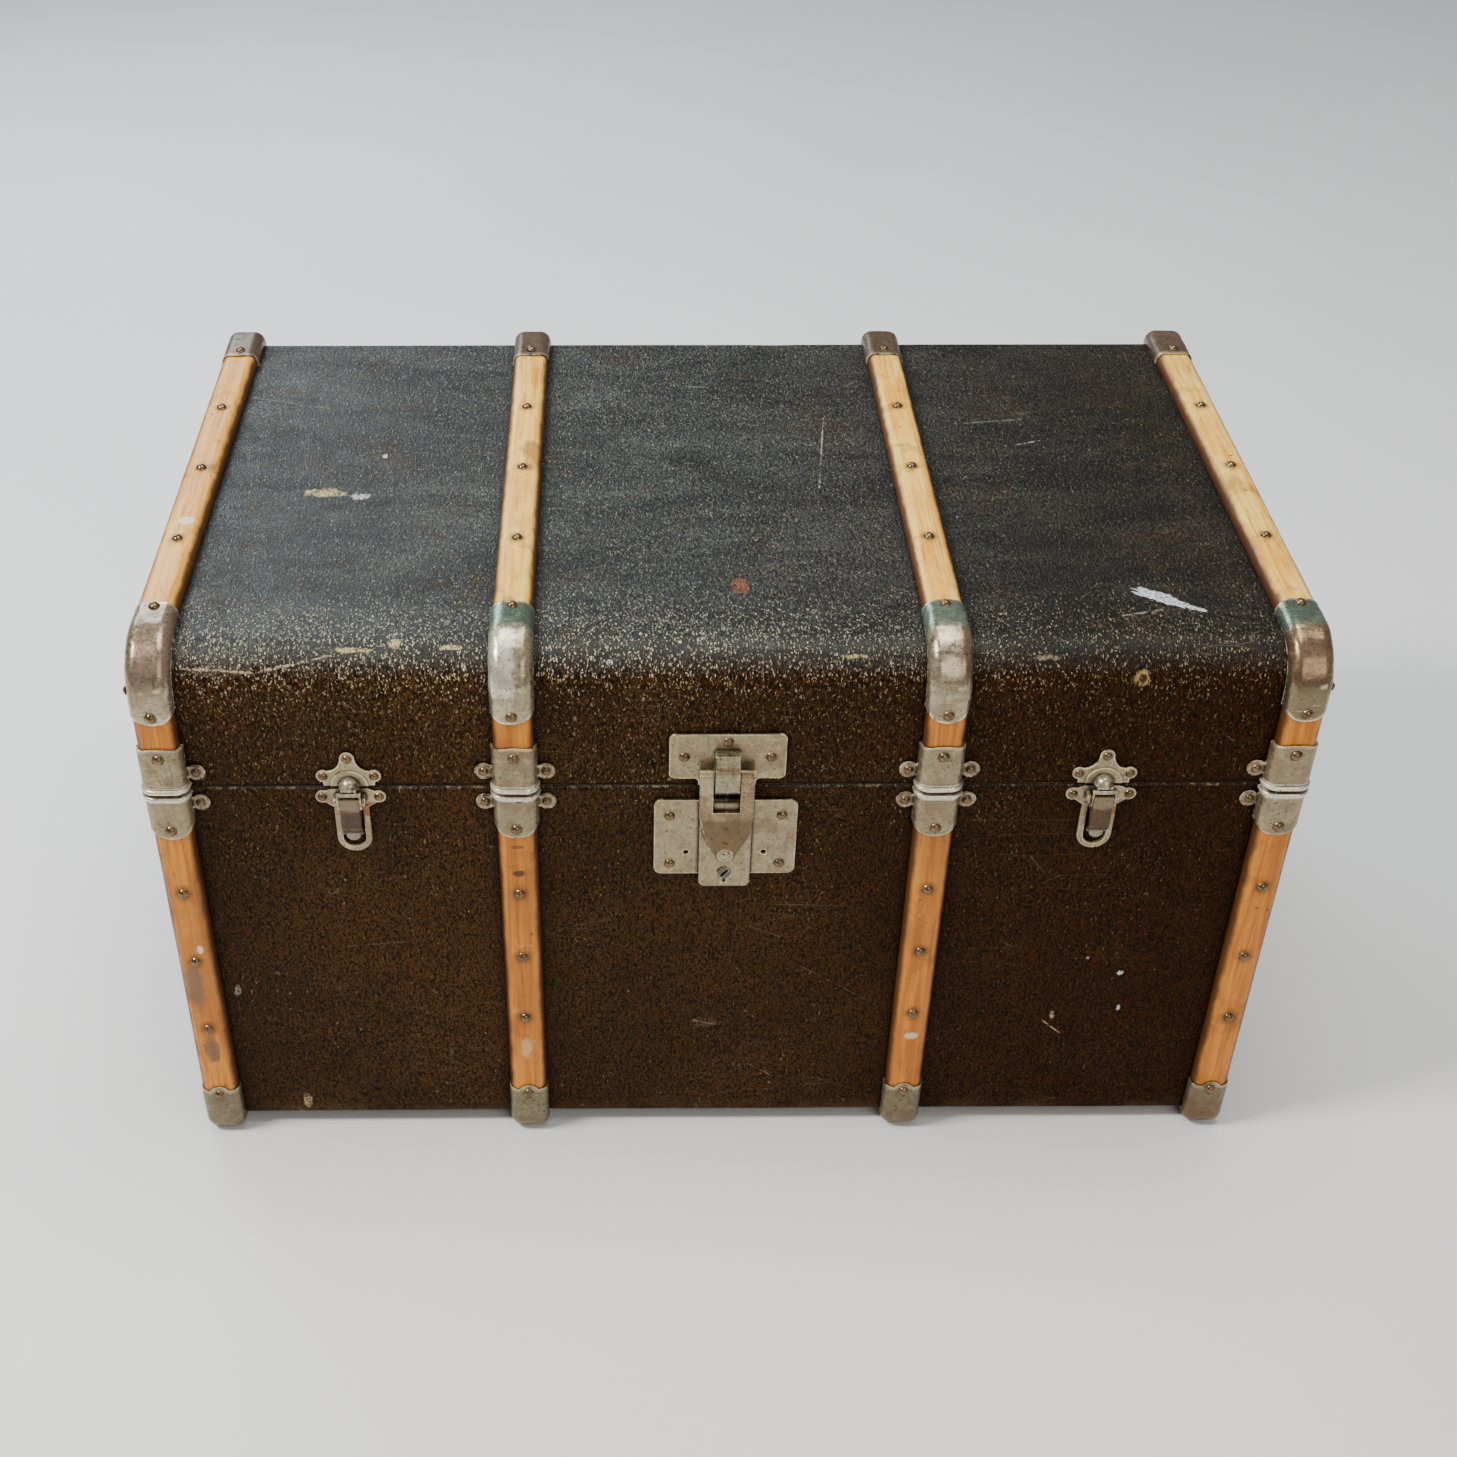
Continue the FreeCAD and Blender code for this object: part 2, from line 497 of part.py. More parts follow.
def clasp_lever(x):
    """Channel-shaped lever with cheeks for both pivots and a round thumb tip."""
    front, sheet, half, top = LEVER_Y - 5.0, 1.5, 7.4, LEVER_Z + 4.8
    face = prism_x([(front, top), (front + sheet, top), (front + sheet, 314), (LEVER_Y + 3.1, 304),
                    (LEVER_Y + 1.6, 303), (front, 312)], x - half, x + half)
    face = round_edges(face, 0.6, lambda e: abs(abs(e.CenterOfMass.x - x) - half) < 0.01
                       and e.CenterOfMass.y < front + 0.2)
    cheeks = []
    for s in (-1, 1):
        x0, x1 = sorted((x + s * (half - 1.5), x + s * half))
        cheek = prism_x([(front + 1, top), (LEVER_Y + 1, top - 1), (LEVER_Y + 3, LEVER_Z + 1),
                         (LEVER_Y + 3, LEVER_Z - 9), (LEVER_Y - 1, 314), (front + 1, 312)], x0, x1)
        cheeks.append(cheek.cut(rod(1.5 + RUN, (x0 - 1, LEVER_Y, LEVER_Z), (1, 0, 0), 4)))
    tip = rod(5.6, (x, LEVER_Y + 0.4, 303.2), (0, 1, 0), 2.7)
    tip = round_edges(tip, 1.2, lambda e: abs(e.CenterOfMass.y - LEVER_Y - 0.4) < 0.01)
    body = fuse([face, tip] + cheeks)
    return body.cut(rod(1.2 + RUN, (x - 9, LEVER_Y, LEVER_Z - LINK_R), (1, 0, 0), 18))


def clasp_hook(x):
    """Draw hook: cross bar and side arms that carry a hollow half dome over the keeper."""
    z0, arm_in, arm_out = LEVER_Z - LINK_R, 7.7, 9.0
    pieces = [rod(1.2, (x - arm_out, LEVER_Y, z0), (1, 0, 0), 2 * arm_out)]
    for s in (-1, 1):
        x0, x1 = sorted((x + s * arm_in, x + s * arm_out))
        pieces.append(rod(2.4, (x0, LEVER_Y, z0), (1, 0, 0), x1 - x0))
        pieces.append(prism_x([(LEVER_Y - 0.5, z0 + 2.2), (LEVER_Y - 2.8, z0 + 3), (LEVER_Y - 2.8, 345.2),
                               (LEVER_Y - 4.6, 345.2), (LEVER_Y - 4.6, z0 + 1.5), (LEVER_Y - 2, z0 - 1)],
                              x0, x1))
    pieces.append(box(x - arm_out, x + arm_out, LEVER_Y - 4.6, LEVER_Y - 2.8, 342.6, 345.2))
    pieces.append(box(x - 5.5, x + 5.5, LEVER_Y - 3.2, LEVER_Y - 0.4, 343.6, 347.6))

    def bulb(r):
        ball = Part.makeSphere(r, V(x, DOME_Y, DOME_Z))
        cut_back = box(x - 9, x + 9, DOME_Y, DOME_Y + 9, DOME_Z - 9, DOME_Z + 9)
        return fuse([ball.cut(cut_back), rod(r, (x, DOME_Y, DOME_Z), (0, 1, 0), 1.2)])

    below = box(x - 9, x + 9, DOME_Y - 9, DOME_Y + 9, DOME_Z - 12, DOME_Z)
    body = fuse(pieces + [bulb(DOME_R).cut(below)])
    hollow = fuse([bulb(DOME_R - DOME_WALL),
                   rod(DOME_R - DOME_WALL, (x, DOME_Y, DOME_Z), (0, 1, 0), 5)])
    return body.cut(hollow)


def make_clasps():
    pins = []
    for name, x in CLASP_X.items():
        save("clasp_star_plate_" + name, star_plate(x))
        save("clasp_base_plate_" + name, clasp_base_plate(x))
        save("clasp_lever_" + name, clasp_lever(x))
        save("clasp_hook_" + name, clasp_hook(x))
        pins += lever_pins(x)
    save("clasp_lever_pins", *pins)


# ---- back hinges -------------------------------------------------------------------------------
LEAF_T, KNUCKLE, LEAF_HALF = 1.8, 16.0, 24.0


def hinge_leaf(x, lid_side):
    """Leaf with one middle knuckle on the lid, or two outer ones on the base."""
    near, far = HALF_D + 0.1, HALF_D + 0.1 + LEAF_T
    if lid_side:
        spans = [(x - KNUCKLE / 2 + 0.3, x + KNUCKLE / 2 - 0.3)]
        plate_low, plate_high = 362.0, 418.0
        web = (HINGE_Z, plate_low + 6)
    else:
        spans = [(x - LEAF_HALF, x - KNUCKLE / 2), (x + KNUCKLE / 2, x + LEAF_HALF)]
        plate_low, plate_high = 286.0, SEAM - 1.5
        web = (plate_high - 4, HINGE_Z)
    plate = box(x - LEAF_HALF, x + LEAF_HALF, near, far, plate_low, plate_high)
    end = plate_high if lid_side else plate_low
    plate = round_edges(plate, 10.0, lambda e: abs(e.CenterOfMass.z - end) < 0.01
                        and abs(abs(e.CenterOfMass.x - x) - LEAF_HALF) < 0.01)
    pieces = [plate]
    for x0, x1 in spans:
        pieces.append(rod(BARREL_R, (x0, HINGE_Y, HINGE_Z), (1, 0, 0), x1 - x0))
        if lid_side:
            arm = [(near, web[1]), (far, web[1]), (HINGE_Y + 3, HINGE_Z + 3), (HINGE_Y - 4, HINGE_Z)]
            pieces.append(prism_x(arm + [(near, plate_low)], x0, x1))
        else:
            pieces.append(box(x0, x1, near + 0.4, far + 0.4, web[0], HINGE_Z))
            pieces.append(box(x0, x1, near + 0.4, HINGE_Y, HINGE_Z - 4.5, HINGE_Z))
    bore = rod(HINGE_PIN_R + RUN, (x - 30, HINGE_Y, HINGE_Z), (1, 0, 0), 60)
    return fuse(pieces).cut(bore)


def make_hinges():
    save("hinge_lid_leaves", *[hinge_leaf(x, True) for x in HINGE_X])
    save("hinge_base_leaves", *[hinge_leaf(x, False) for x in HINGE_X])
    pins = []
    for x in HINGE_X:
        pin = rod(HINGE_PIN_R, (x - LEAF_HALF - 0.2, HINGE_Y, HINGE_Z), (1, 0, 0), 2 * LEAF_HALF + 0.4)
        heads = [rod(4.0, (x + s * (LEAF_HALF + 0.2) - (1.6 if s < 0 else 0), HINGE_Y, HINGE_Z),
                     (1, 0, 0), 1.6) for s in (-1, 1)]
        pins.append(fuse([pin] + heads))
    save("hinge_pins", *pins)


# ---- end handles -------------------------------------------------------------------------------
def handle_bracket(side, y):
    """Plate on the end of the trunk with a barrel that holds one end of the bail."""
    wall = side * (HALF_W + 0.1)
    x0, x1 = sorted((wall, wall + side * 2.0))
    plate = round_edges(box(x0, x1, y - 16, y + 16, HANDLE_Z - 22, HANDLE_Z + 22), 6.0,
                        lambda e: abs(e.CenterOfMass.x - (x0 + x1) / 2) < 0.01)
    xa, xb = sorted((wall + side, side * HANDLE_X))
    barrel = fuse([rod(6.5, (side * HANDLE_X, y - 7, HANDLE_Z), (0, 1, 0), 14),
                   box(xa, xb, y - 7, y + 7, HANDLE_Z - 6.5, HANDLE_Z + 6.5)])
    bore = rod(BAIL_R + RUN, (side * HANDLE_X, y - 10, HANDLE_Z), (0, 1, 0), 20)
    return fuse([plate, barrel]).cut(bore)


def handle_bail(side):
    """Iron wire: stubs in the brackets, legs down and a straight run through the grip."""
    x, leg, turn = side * HANDLE_X, BAIL_Y - 13.0, 14.0
    low = HANDLE_Z - BAIL_DROP
    d = turn * (1 - math.sqrt(0.5))
    small = 6.0
    s = small * (1 - math.sqrt(0.5))
    half = [V(x, BAIL_Y + 7.5, HANDLE_Z), V(x, leg + small, HANDLE_Z),
            V(x, leg + s, HANDLE_Z - s), V(x, leg, HANDLE_Z - small),
            V(x, leg, low + turn), V(x, leg - d, low + d), V(x, leg - turn, low)]
    other = [V(p.x, -p.y, p.z) for p in half]
    edges = []
    for p in (half, other):
        edges += [Part.LineSegment(p[0], p[1]), Part.Arc(p[1], p[2], p[3]),
                  Part.LineSegment(p[3], p[4]), Part.Arc(p[4], p[5], p[6])]
    edges.append(Part.LineSegment(half[6], other[6]))
    path = Part.Wire(Part.__sortEdges__([e.toShape() for e in edges]))
    start = path.OrderedVertexes[0].Point
    ring = Part.Wire(Part.makeCircle(BAIL_R, start, V(0, 1, 0)))
    return path.makePipeShell([ring], True, True)


def handle_grip(side):
    """Stitched leather roll on the bail, fuller in the middle."""
    x, z = side * HANDLE_X, HANDLE_Z - BAIL_DROP
    half, end_r, mid_r, bore = 50.0, 8.5, 11.0, BAIL_R
    edges = [Part.Arc(V(x, -half, z + end_r), V(x, 0, z + mid_r), V(x, half, z + end_r)).toShape(),
             Part.LineSegment(V(x, half, z + end_r), V(x, half, z + bore)).toShape(),
             Part.LineSegment(V(x, half, z + bore), V(x, -half, z + bore)).toShape(),
             Part.LineSegment(V(x, -half, z + bore), V(x, -half, z + end_r)).toShape()]
    return Part.Face(Part.Wire(edges)).revolve(V(x, 0, z), V(0, 1, 0), 360)


def make_handles():
    brackets = []
    for name, side in HANDLE_SIDE.items():
        save("handle_bail_" + name, handle_bail(side))
        save("handle_grip_" + name, handle_grip(side))
        brackets += [handle_bracket(side, y) for y in (-BAIL_Y, BAIL_Y)]
    save("handle_brackets", *brackets)


# ---- folding lid stay --------------------------------------------------------------------------
STAY_WALL = -HALF_W + WALL              # inside of the left end
STAY_T, STAY_HALF = 2.5, 6.0
STAY_LOW_X = STAY_WALL + 5.5            # outer face of the lower bar
STAY_UP_X = STAY_LOW_X + STAY_T + 0.5   # outer face of the upper bar
STUD_R = 3.0


def stay_point(y, z, degrees, length=STAY_BAR):
    a = math.radians(degrees)
    return y + length * math.cos(a), z + length * math.sin(a)


STAY_LID = stay_point(HINGE_Y, HINGE_Z, STAY_LOWER_DEG)
STAY_BASE = stay_point(HINGE_Y, HINGE_Z, STAY_UPPER_DEG, -STAY_BAR)
STAY_ELBOW = stay_point(STAY_BASE[0], STAY_BASE[1], STAY_LOWER_DEG)


def stay_bar(x, start, degrees):
    """Flat bar with round ends between two pivots."""
    y, z = start
    pieces = [box(x, x + STAY_T, y, y + STAY_BAR, z - STAY_HALF, z + STAY_HALF)]
    pieces += [rod(STAY_HALF + 2, (x, y + d, z), (1, 0, 0), STAY_T) for d in (0, STAY_BAR)]
    bar = fuse(pieces)
    bar.rotate(V(x, y, z), V(1, 0, 0), degrees)
    return bar


def stay_bracket(point, bar_x):
    """Plate screwed to the wall with a shouldered stud for a bar."""
    y, z = point
    plate = round_edges(box(STAY_WALL, STAY_WALL + 2, y - 11, y + 11, z - 14, z + 14), 5.0,
                        lambda e: abs(e.CenterOfMass.x - STAY_WALL - 1) < 0.01)
    shoulder = rod(5.0, (STAY_WALL + 2, y, z), (1, 0, 0), bar_x - STAY_WALL - 2.2)
    stud = rod(STUD_R, (STAY_WALL + 2, y, z), (1, 0, 0), bar_x + STAY_T + 0.2 - STAY_WALL - 2)
    head = rod(5.0, (bar_x + STAY_T + 0.2, y, z), (1, 0, 0), 1.6)
    return fuse([plate, shoulder, stud, head])


def make_stay():
    lower = stay_bar(STAY_LOW_X, STAY_BASE, STAY_LOWER_DEG)
    lower = lower.cut(rod(STUD_R + RUN, (STAY_LOW_X - 1, *STAY_BASE), (1, 0, 0), 6))
    pin = rod(STUD_R, (STAY_LOW_X, *STAY_ELBOW), (1, 0, 0), STAY_UP_X + STAY_T + 0.2 - STAY_LOW_X)
    head = rod(5.0, (STAY_UP_X + STAY_T + 0.2, *STAY_ELBOW), (1, 0, 0), 1.6)
    save("stay_lower_bar", fuse([lower, pin, head]))
    upper = stay_bar(STAY_UP_X, STAY_ELBOW, STAY_UPPER_DEG)
    upper = upper.cut(rod(STUD_R + RUN, (STAY_UP_X - 1, *STAY_ELBOW), (1, 0, 0), 6))
    save("stay_upper_bar", upper.cut(rod(STUD_R + 0.25, (STAY_UP_X - 1, *STAY_LID), (1, 0, 0), 6)))
    save("stay_base_bracket", stay_bracket(STAY_BASE, STAY_LOW_X))
    save("stay_lid_bracket", stay_bracket(STAY_LID, STAY_UP_X))


# ---- rivets ------------------------------------------------------------------------------------
def make_rivets():
    lid, base = [], []
    end_x = HALF_W + (SLEEVE_HALF - SLAT_HALF)
    for x in SLAT_X:
        side = 1 if x > 0 else -1
        for z in (414.0, 377.0):
            lid.append(on_face("front", x, z, PROUD))
        lid += [on_face("top", x, y, SLAT_T) for y in NAIL_Y]
        lid += [on_face("top", x, y, PROUD) for y in (-206, 219)]
        for z in (424.0, 377.0):
            lid.append(on_face("back", x, z, PROUD))
        for face, end in (("front", -1), ("back", 1)):
            base += [on_face(face, x, z, SLAT_T) for z in NAIL_Z[x]]
            base += [on_face(face, x, z, PROUD) for z in (311.5, 30)]
            lid_ear = 358.0 if face == "front" else 364.0
            for s in (-1, 1):
                for z, group in ((lid_ear, lid), (330.0, base)):
                    if abs(x + s * (SLAT_HALF + 7)) < HALF_W:
                        group.append(on_face(face, x + s * EAR_OUT, z, 0.1 + METAL, SMALL_R, SMALL_H))
                    else:
                        spot = (side * end_x, end * (HALF_D - EAR_IN), z)
                        group.append(dome(spot, (side, 0, 0), SMALL_R, SMALL_H))
        if abs(x) > HALF_W / 2:
            spot = (x + side * CAP_HALF, -HALF_D - 1.9, BODY_TOP - 26)
            lid.append(dome(spot, (side, 0, 0), SMALL_R, SMALL_H))
    for x in CLASP_X.values():
        for dx, z in ((0, 369.5), (-18.8, 354), (18.8, 354)):
            lid.append(on_face("front", x + dx, z, CLASP_T, SMALL_R, SMALL_H))
        for dx in (-21, 21):
            base.append(on_face("front", x + dx, 335, CLASP_T, SMALL_R, SMALL_H))
    plate_w = -HALF_D - PLATE_Y
    for x, z in ((-32, 371), (32, 371), (0, 384.5)):
        lid.append(on_face("front", x, z, plate_w, PLATE_RIVET_R, PLATE_RIVET_H))
    for x, z in ((-42.3, 316.5), (42.3, 316.5), (-42, 270), (42, 270)):
        base.append(on_face("front", x, z, plate_w, PLATE_RIVET_R, PLATE_RIVET_H))
    for x in HINGE_X:
        for dx, z, group in ((-15, 404, lid), (15, 404, lid), (0, 384, lid),
                             (-15, 300, base), (15, 300, base), (0, 320, base)):
            group.append(on_face("back", x + dx, z, 0.1 + LEAF_T, SMALL_R, SMALL_H))
    for side in HANDLE_SIDE.values():
        for y in (-BAIL_Y, BAIL_Y):
            for dy, dz in ((-10, 15), (10, 15), (-10, -15), (10, -15)):
                spot = (side * (HALF_W + 2.1), y + dy, HANDLE_Z + dz)
                base.append(dome(spot, (side, 0, 0), SMALL_R, SMALL_H))
    save("lid_rivets", *lid)
    save("base_rivets", *base)


make_base_body()
make_lip()
make_lid_body()
make_slats()
make_caps()
make_sleeves()
make_lock()
make_hasp()
make_clasps()
make_hinges()
make_handles()
make_stay()
make_rivets()
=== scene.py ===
import json
import math
import random

import bmesh
import bpy
from mathutils import Matrix, Vector, noise
from mathutils.bvhtree import BVHTree

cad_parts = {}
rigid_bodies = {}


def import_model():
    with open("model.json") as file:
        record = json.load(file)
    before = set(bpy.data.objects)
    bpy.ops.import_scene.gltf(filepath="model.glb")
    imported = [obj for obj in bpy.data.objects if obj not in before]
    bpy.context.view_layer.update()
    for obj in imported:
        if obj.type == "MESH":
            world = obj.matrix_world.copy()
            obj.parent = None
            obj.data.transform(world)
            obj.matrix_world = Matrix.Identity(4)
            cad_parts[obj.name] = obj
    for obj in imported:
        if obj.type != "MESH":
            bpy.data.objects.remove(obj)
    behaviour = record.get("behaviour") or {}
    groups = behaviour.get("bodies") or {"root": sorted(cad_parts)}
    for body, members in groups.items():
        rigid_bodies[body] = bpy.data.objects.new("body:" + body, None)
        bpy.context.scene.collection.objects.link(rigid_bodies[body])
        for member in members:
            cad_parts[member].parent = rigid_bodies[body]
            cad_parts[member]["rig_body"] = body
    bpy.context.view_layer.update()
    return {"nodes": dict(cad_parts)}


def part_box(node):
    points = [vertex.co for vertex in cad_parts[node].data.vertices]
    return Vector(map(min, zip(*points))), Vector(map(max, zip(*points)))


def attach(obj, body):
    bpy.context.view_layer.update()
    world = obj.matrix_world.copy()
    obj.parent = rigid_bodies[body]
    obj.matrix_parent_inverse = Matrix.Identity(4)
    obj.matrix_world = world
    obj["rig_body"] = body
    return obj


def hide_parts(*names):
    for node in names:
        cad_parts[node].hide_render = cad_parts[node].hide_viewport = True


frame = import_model()

# ---- measures taken from the frame (metres) ----
LID_LO, LID_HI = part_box("lid_covering")
BASE_LO, BASE_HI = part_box("base_covering")
BEND_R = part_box("lid_bend_panel")[1].y - LID_LO.y
HALF_W, HALF_D = LID_HI.x, LID_HI.y
TOP, RIM = LID_HI.z, BASE_HI.z
EDGE_R = 0.003
SLAT_T = LID_LO.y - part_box("lid_front_slats")[0].y
SLAT_HALF = 0.015
SLAT_X = (-0.415, -0.157, 0.157, 0.415)
SKIN = 0.0013


# ---- node-tree helpers ----
class Shade:
    """A procedural material: each call adds one node and hands back its output socket."""

    def __init__(self, name):
        self.material = bpy.data.materials.new(name)
        self.material.use_nodes = True
        self.tree = self.material.node_tree
        self.tree.nodes.clear()
        out = self.node("ShaderNodeOutputMaterial")
        self.shader = self.node("ShaderNodeBsdfPrincipled")
        self.tree.links.new(self.shader.outputs[0], out.inputs["Surface"])
        self.place = self.node("ShaderNodeTexCoord").outputs["Object"]
        self.xyz = self.node("ShaderNodeSeparateXYZ", Vector=self.place).outputs

    def node(self, kind, **inputs):
        made = self.tree.nodes.new(kind)
        for name, value in inputs.items():
            self.feed(made.inputs[name.replace("_", " ")], value)
        return made

    def feed(self, socket, value):
        if isinstance(value, bpy.types.NodeSocket):
            self.tree.links.new(value, socket)
        else:
            socket.default_value = value

    def put(self, **inputs):
        """Link or set the shader's own sockets."""
        for name, value in inputs.items():
            self.feed(self.shader.inputs[name.replace("_", " ")], value)

    def stretch(self, x=1.0, y=1.0, z=1.0):
        return self.node("ShaderNodeMapping", Vector=self.place, Scale=(x, y, z)).outputs[0]

    def noise(self, scale, detail=4.0, rough=0.55, where=None, warp=0.0):
        made = self.node("ShaderNodeTexNoise", Vector=where or self.place, Scale=scale,
                         Detail=detail, Roughness=rough, Distortion=warp)
        return made.outputs[0]

    def cells(self, scale, where=None, feature="F1"):
        made = self.node("ShaderNodeTexVoronoi", Vector=where or self.place, Scale=scale)
        made.feature = feature
        return made.outputs

    def warp(self, where, scale, amount):
        """Shift places by a small random amount, so round cells turn into short curls."""
        shift = self.node("ShaderNodeTexNoise", Vector=self.place, Scale=scale, Detail=1.0)
        centred = self.node("ShaderNodeVectorMath", Vector=shift.outputs["Color"])
        centred.operation = "SUBTRACT"
        centred.inputs[1].default_value = (0.5, 0.5, 0.5)
        moved = self.node("ShaderNodeVectorMath")
        moved.operation = "MULTIPLY_ADD"
        self.feed(moved.inputs[0], centred.outputs[0])
        moved.inputs[1].default_value = (amount * 2, amount * 2, amount * 2)
        self.feed(moved.inputs[2], where)
        return moved.outputs[0]

    def span(self, value, low, high, to_low=0.0, to_high=1.0):
        made = self.node("ShaderNodeMapRange", Value=value)
        made.interpolation_type = "SMOOTHSTEP"
        for name, number in (("From Min", low), ("From Max", high), ("To Min", to_low),
                             ("To Max", to_high)):
            made.inputs[name].default_value = number
        return made.outputs[0]

    def sum(self, kind, a, b=0.0):
        made = self.node("ShaderNodeMath")
        made.operation = kind
        self.feed(made.inputs[0], a)
        self.feed(made.inputs[1], b)
        return made.outputs[0]

    def times(self, *values):
        total = values[0]
        for value in values[1:]:
            total = self.sum("MULTIPLY", total, value)
        return total

    def either(self, a, b):
        return self.sum("MAXIMUM", a, b)

    def mix(self, amount, a, b):
        made = self.node("ShaderNodeMix")
        made.data_type = "RGBA"
        self.feed(made.inputs[0], amount)
        for socket, value in ((made.inputs[6], a), (made.inputs[7], b)):
            self.feed(socket, value if isinstance(value, bpy.types.NodeSocket) else (*value, 1.0))
        return made.outputs[2]

    def up(self):
        """How far the surface faces upwards, from 0 to 1."""
        normal = self.node("ShaderNodeTexCoord").outputs["Normal"]
        return self.node("ShaderNodeSeparateXYZ", Vector=normal).outputs[2]

    def near(self, point, radius, ragged=0.0, squeeze=(1.0, 1.0, 1.0)):
        """1 at a point of the trunk, fading to 0 at a ragged radius."""
        away = self.node("ShaderNodeVectorMath", Vector=self.place)
        away.operation = "SUBTRACT"
        away.inputs[1].default_value = point
        scaled = self.node("ShaderNodeMapping", Vector=away.outputs[0], Scale=squeeze)
        length = self.node("ShaderNodeVectorMath", Vector=scaled.outputs[0])
        length.operation = "LENGTH"
        reach = length.outputs["Value"]
        if ragged:
            wobble = self.sum("MULTIPLY", self.sum("SUBTRACT", self.noise(160, 3), 0.5), ragged)
            reach = self.sum("ADD", reach, wobble)
        return self.span(reach, radius, radius * 0.55)

    def streak(self, start, end, width):
        """1 along the straight line between two places of the trunk, broken up by noise."""
        line = Vector(end) - Vector(start)
        away = self.node("ShaderNodeVectorMath", Vector=self.place)
        away.operation = "SUBTRACT"
        away.inputs[1].default_value = start
        along = self.node("ShaderNodeVectorMath", Vector=away.outputs[0])
        along.operation = "DOT_PRODUCT"
        along.inputs[1].default_value = line.normalized()
        reach = self.sum("MINIMUM", self.either(along.outputs["Value"], 0.0), line.length)
        foot = self.node("ShaderNodeVectorMath")
        foot.operation = "SCALE"
        foot.inputs[0].default_value = line.normalized()
        self.feed(foot.inputs[3], reach)
        off = self.node("ShaderNodeVectorMath", Vector=away.outputs[0])
        off.operation = "SUBTRACT"
        self.feed(off.inputs[1], foot.outputs[0])
        length = self.node("ShaderNodeVectorMath", Vector=off.outputs[0])
        length.operation = "LENGTH"
        wander = self.times(self.sum("SUBTRACT", self.noise(90.0, 4.0, 0.7), 0.5), width * 5.0)
        broken = self.span(self.noise(210.0, 3.0, 0.7), 0.36, 0.50)
        off_line = self.sum("ADD", length.outputs["Value"], wander)
        return self.times(self.span(off_line, width, width * 0.4), broken)

    def corner_shade(self, reach):
        """1 in tight corners, falling to 0 in the open: the mask for painted shade in corners."""
        made = self.node("ShaderNodeAmbientOcclusion", Distance=reach)
        made.samples = 6
        return self.span(made.outputs["AO"], 0.96, 0.45)

    def bump(self, height, distance, strength=1.0, under=None):
        made = self.node("ShaderNodeBump", Height=height, Distance=distance, Strength=strength)
        if under:
            self.tree.links.new(under, made.inputs["Normal"])
        return made.outputs[0]


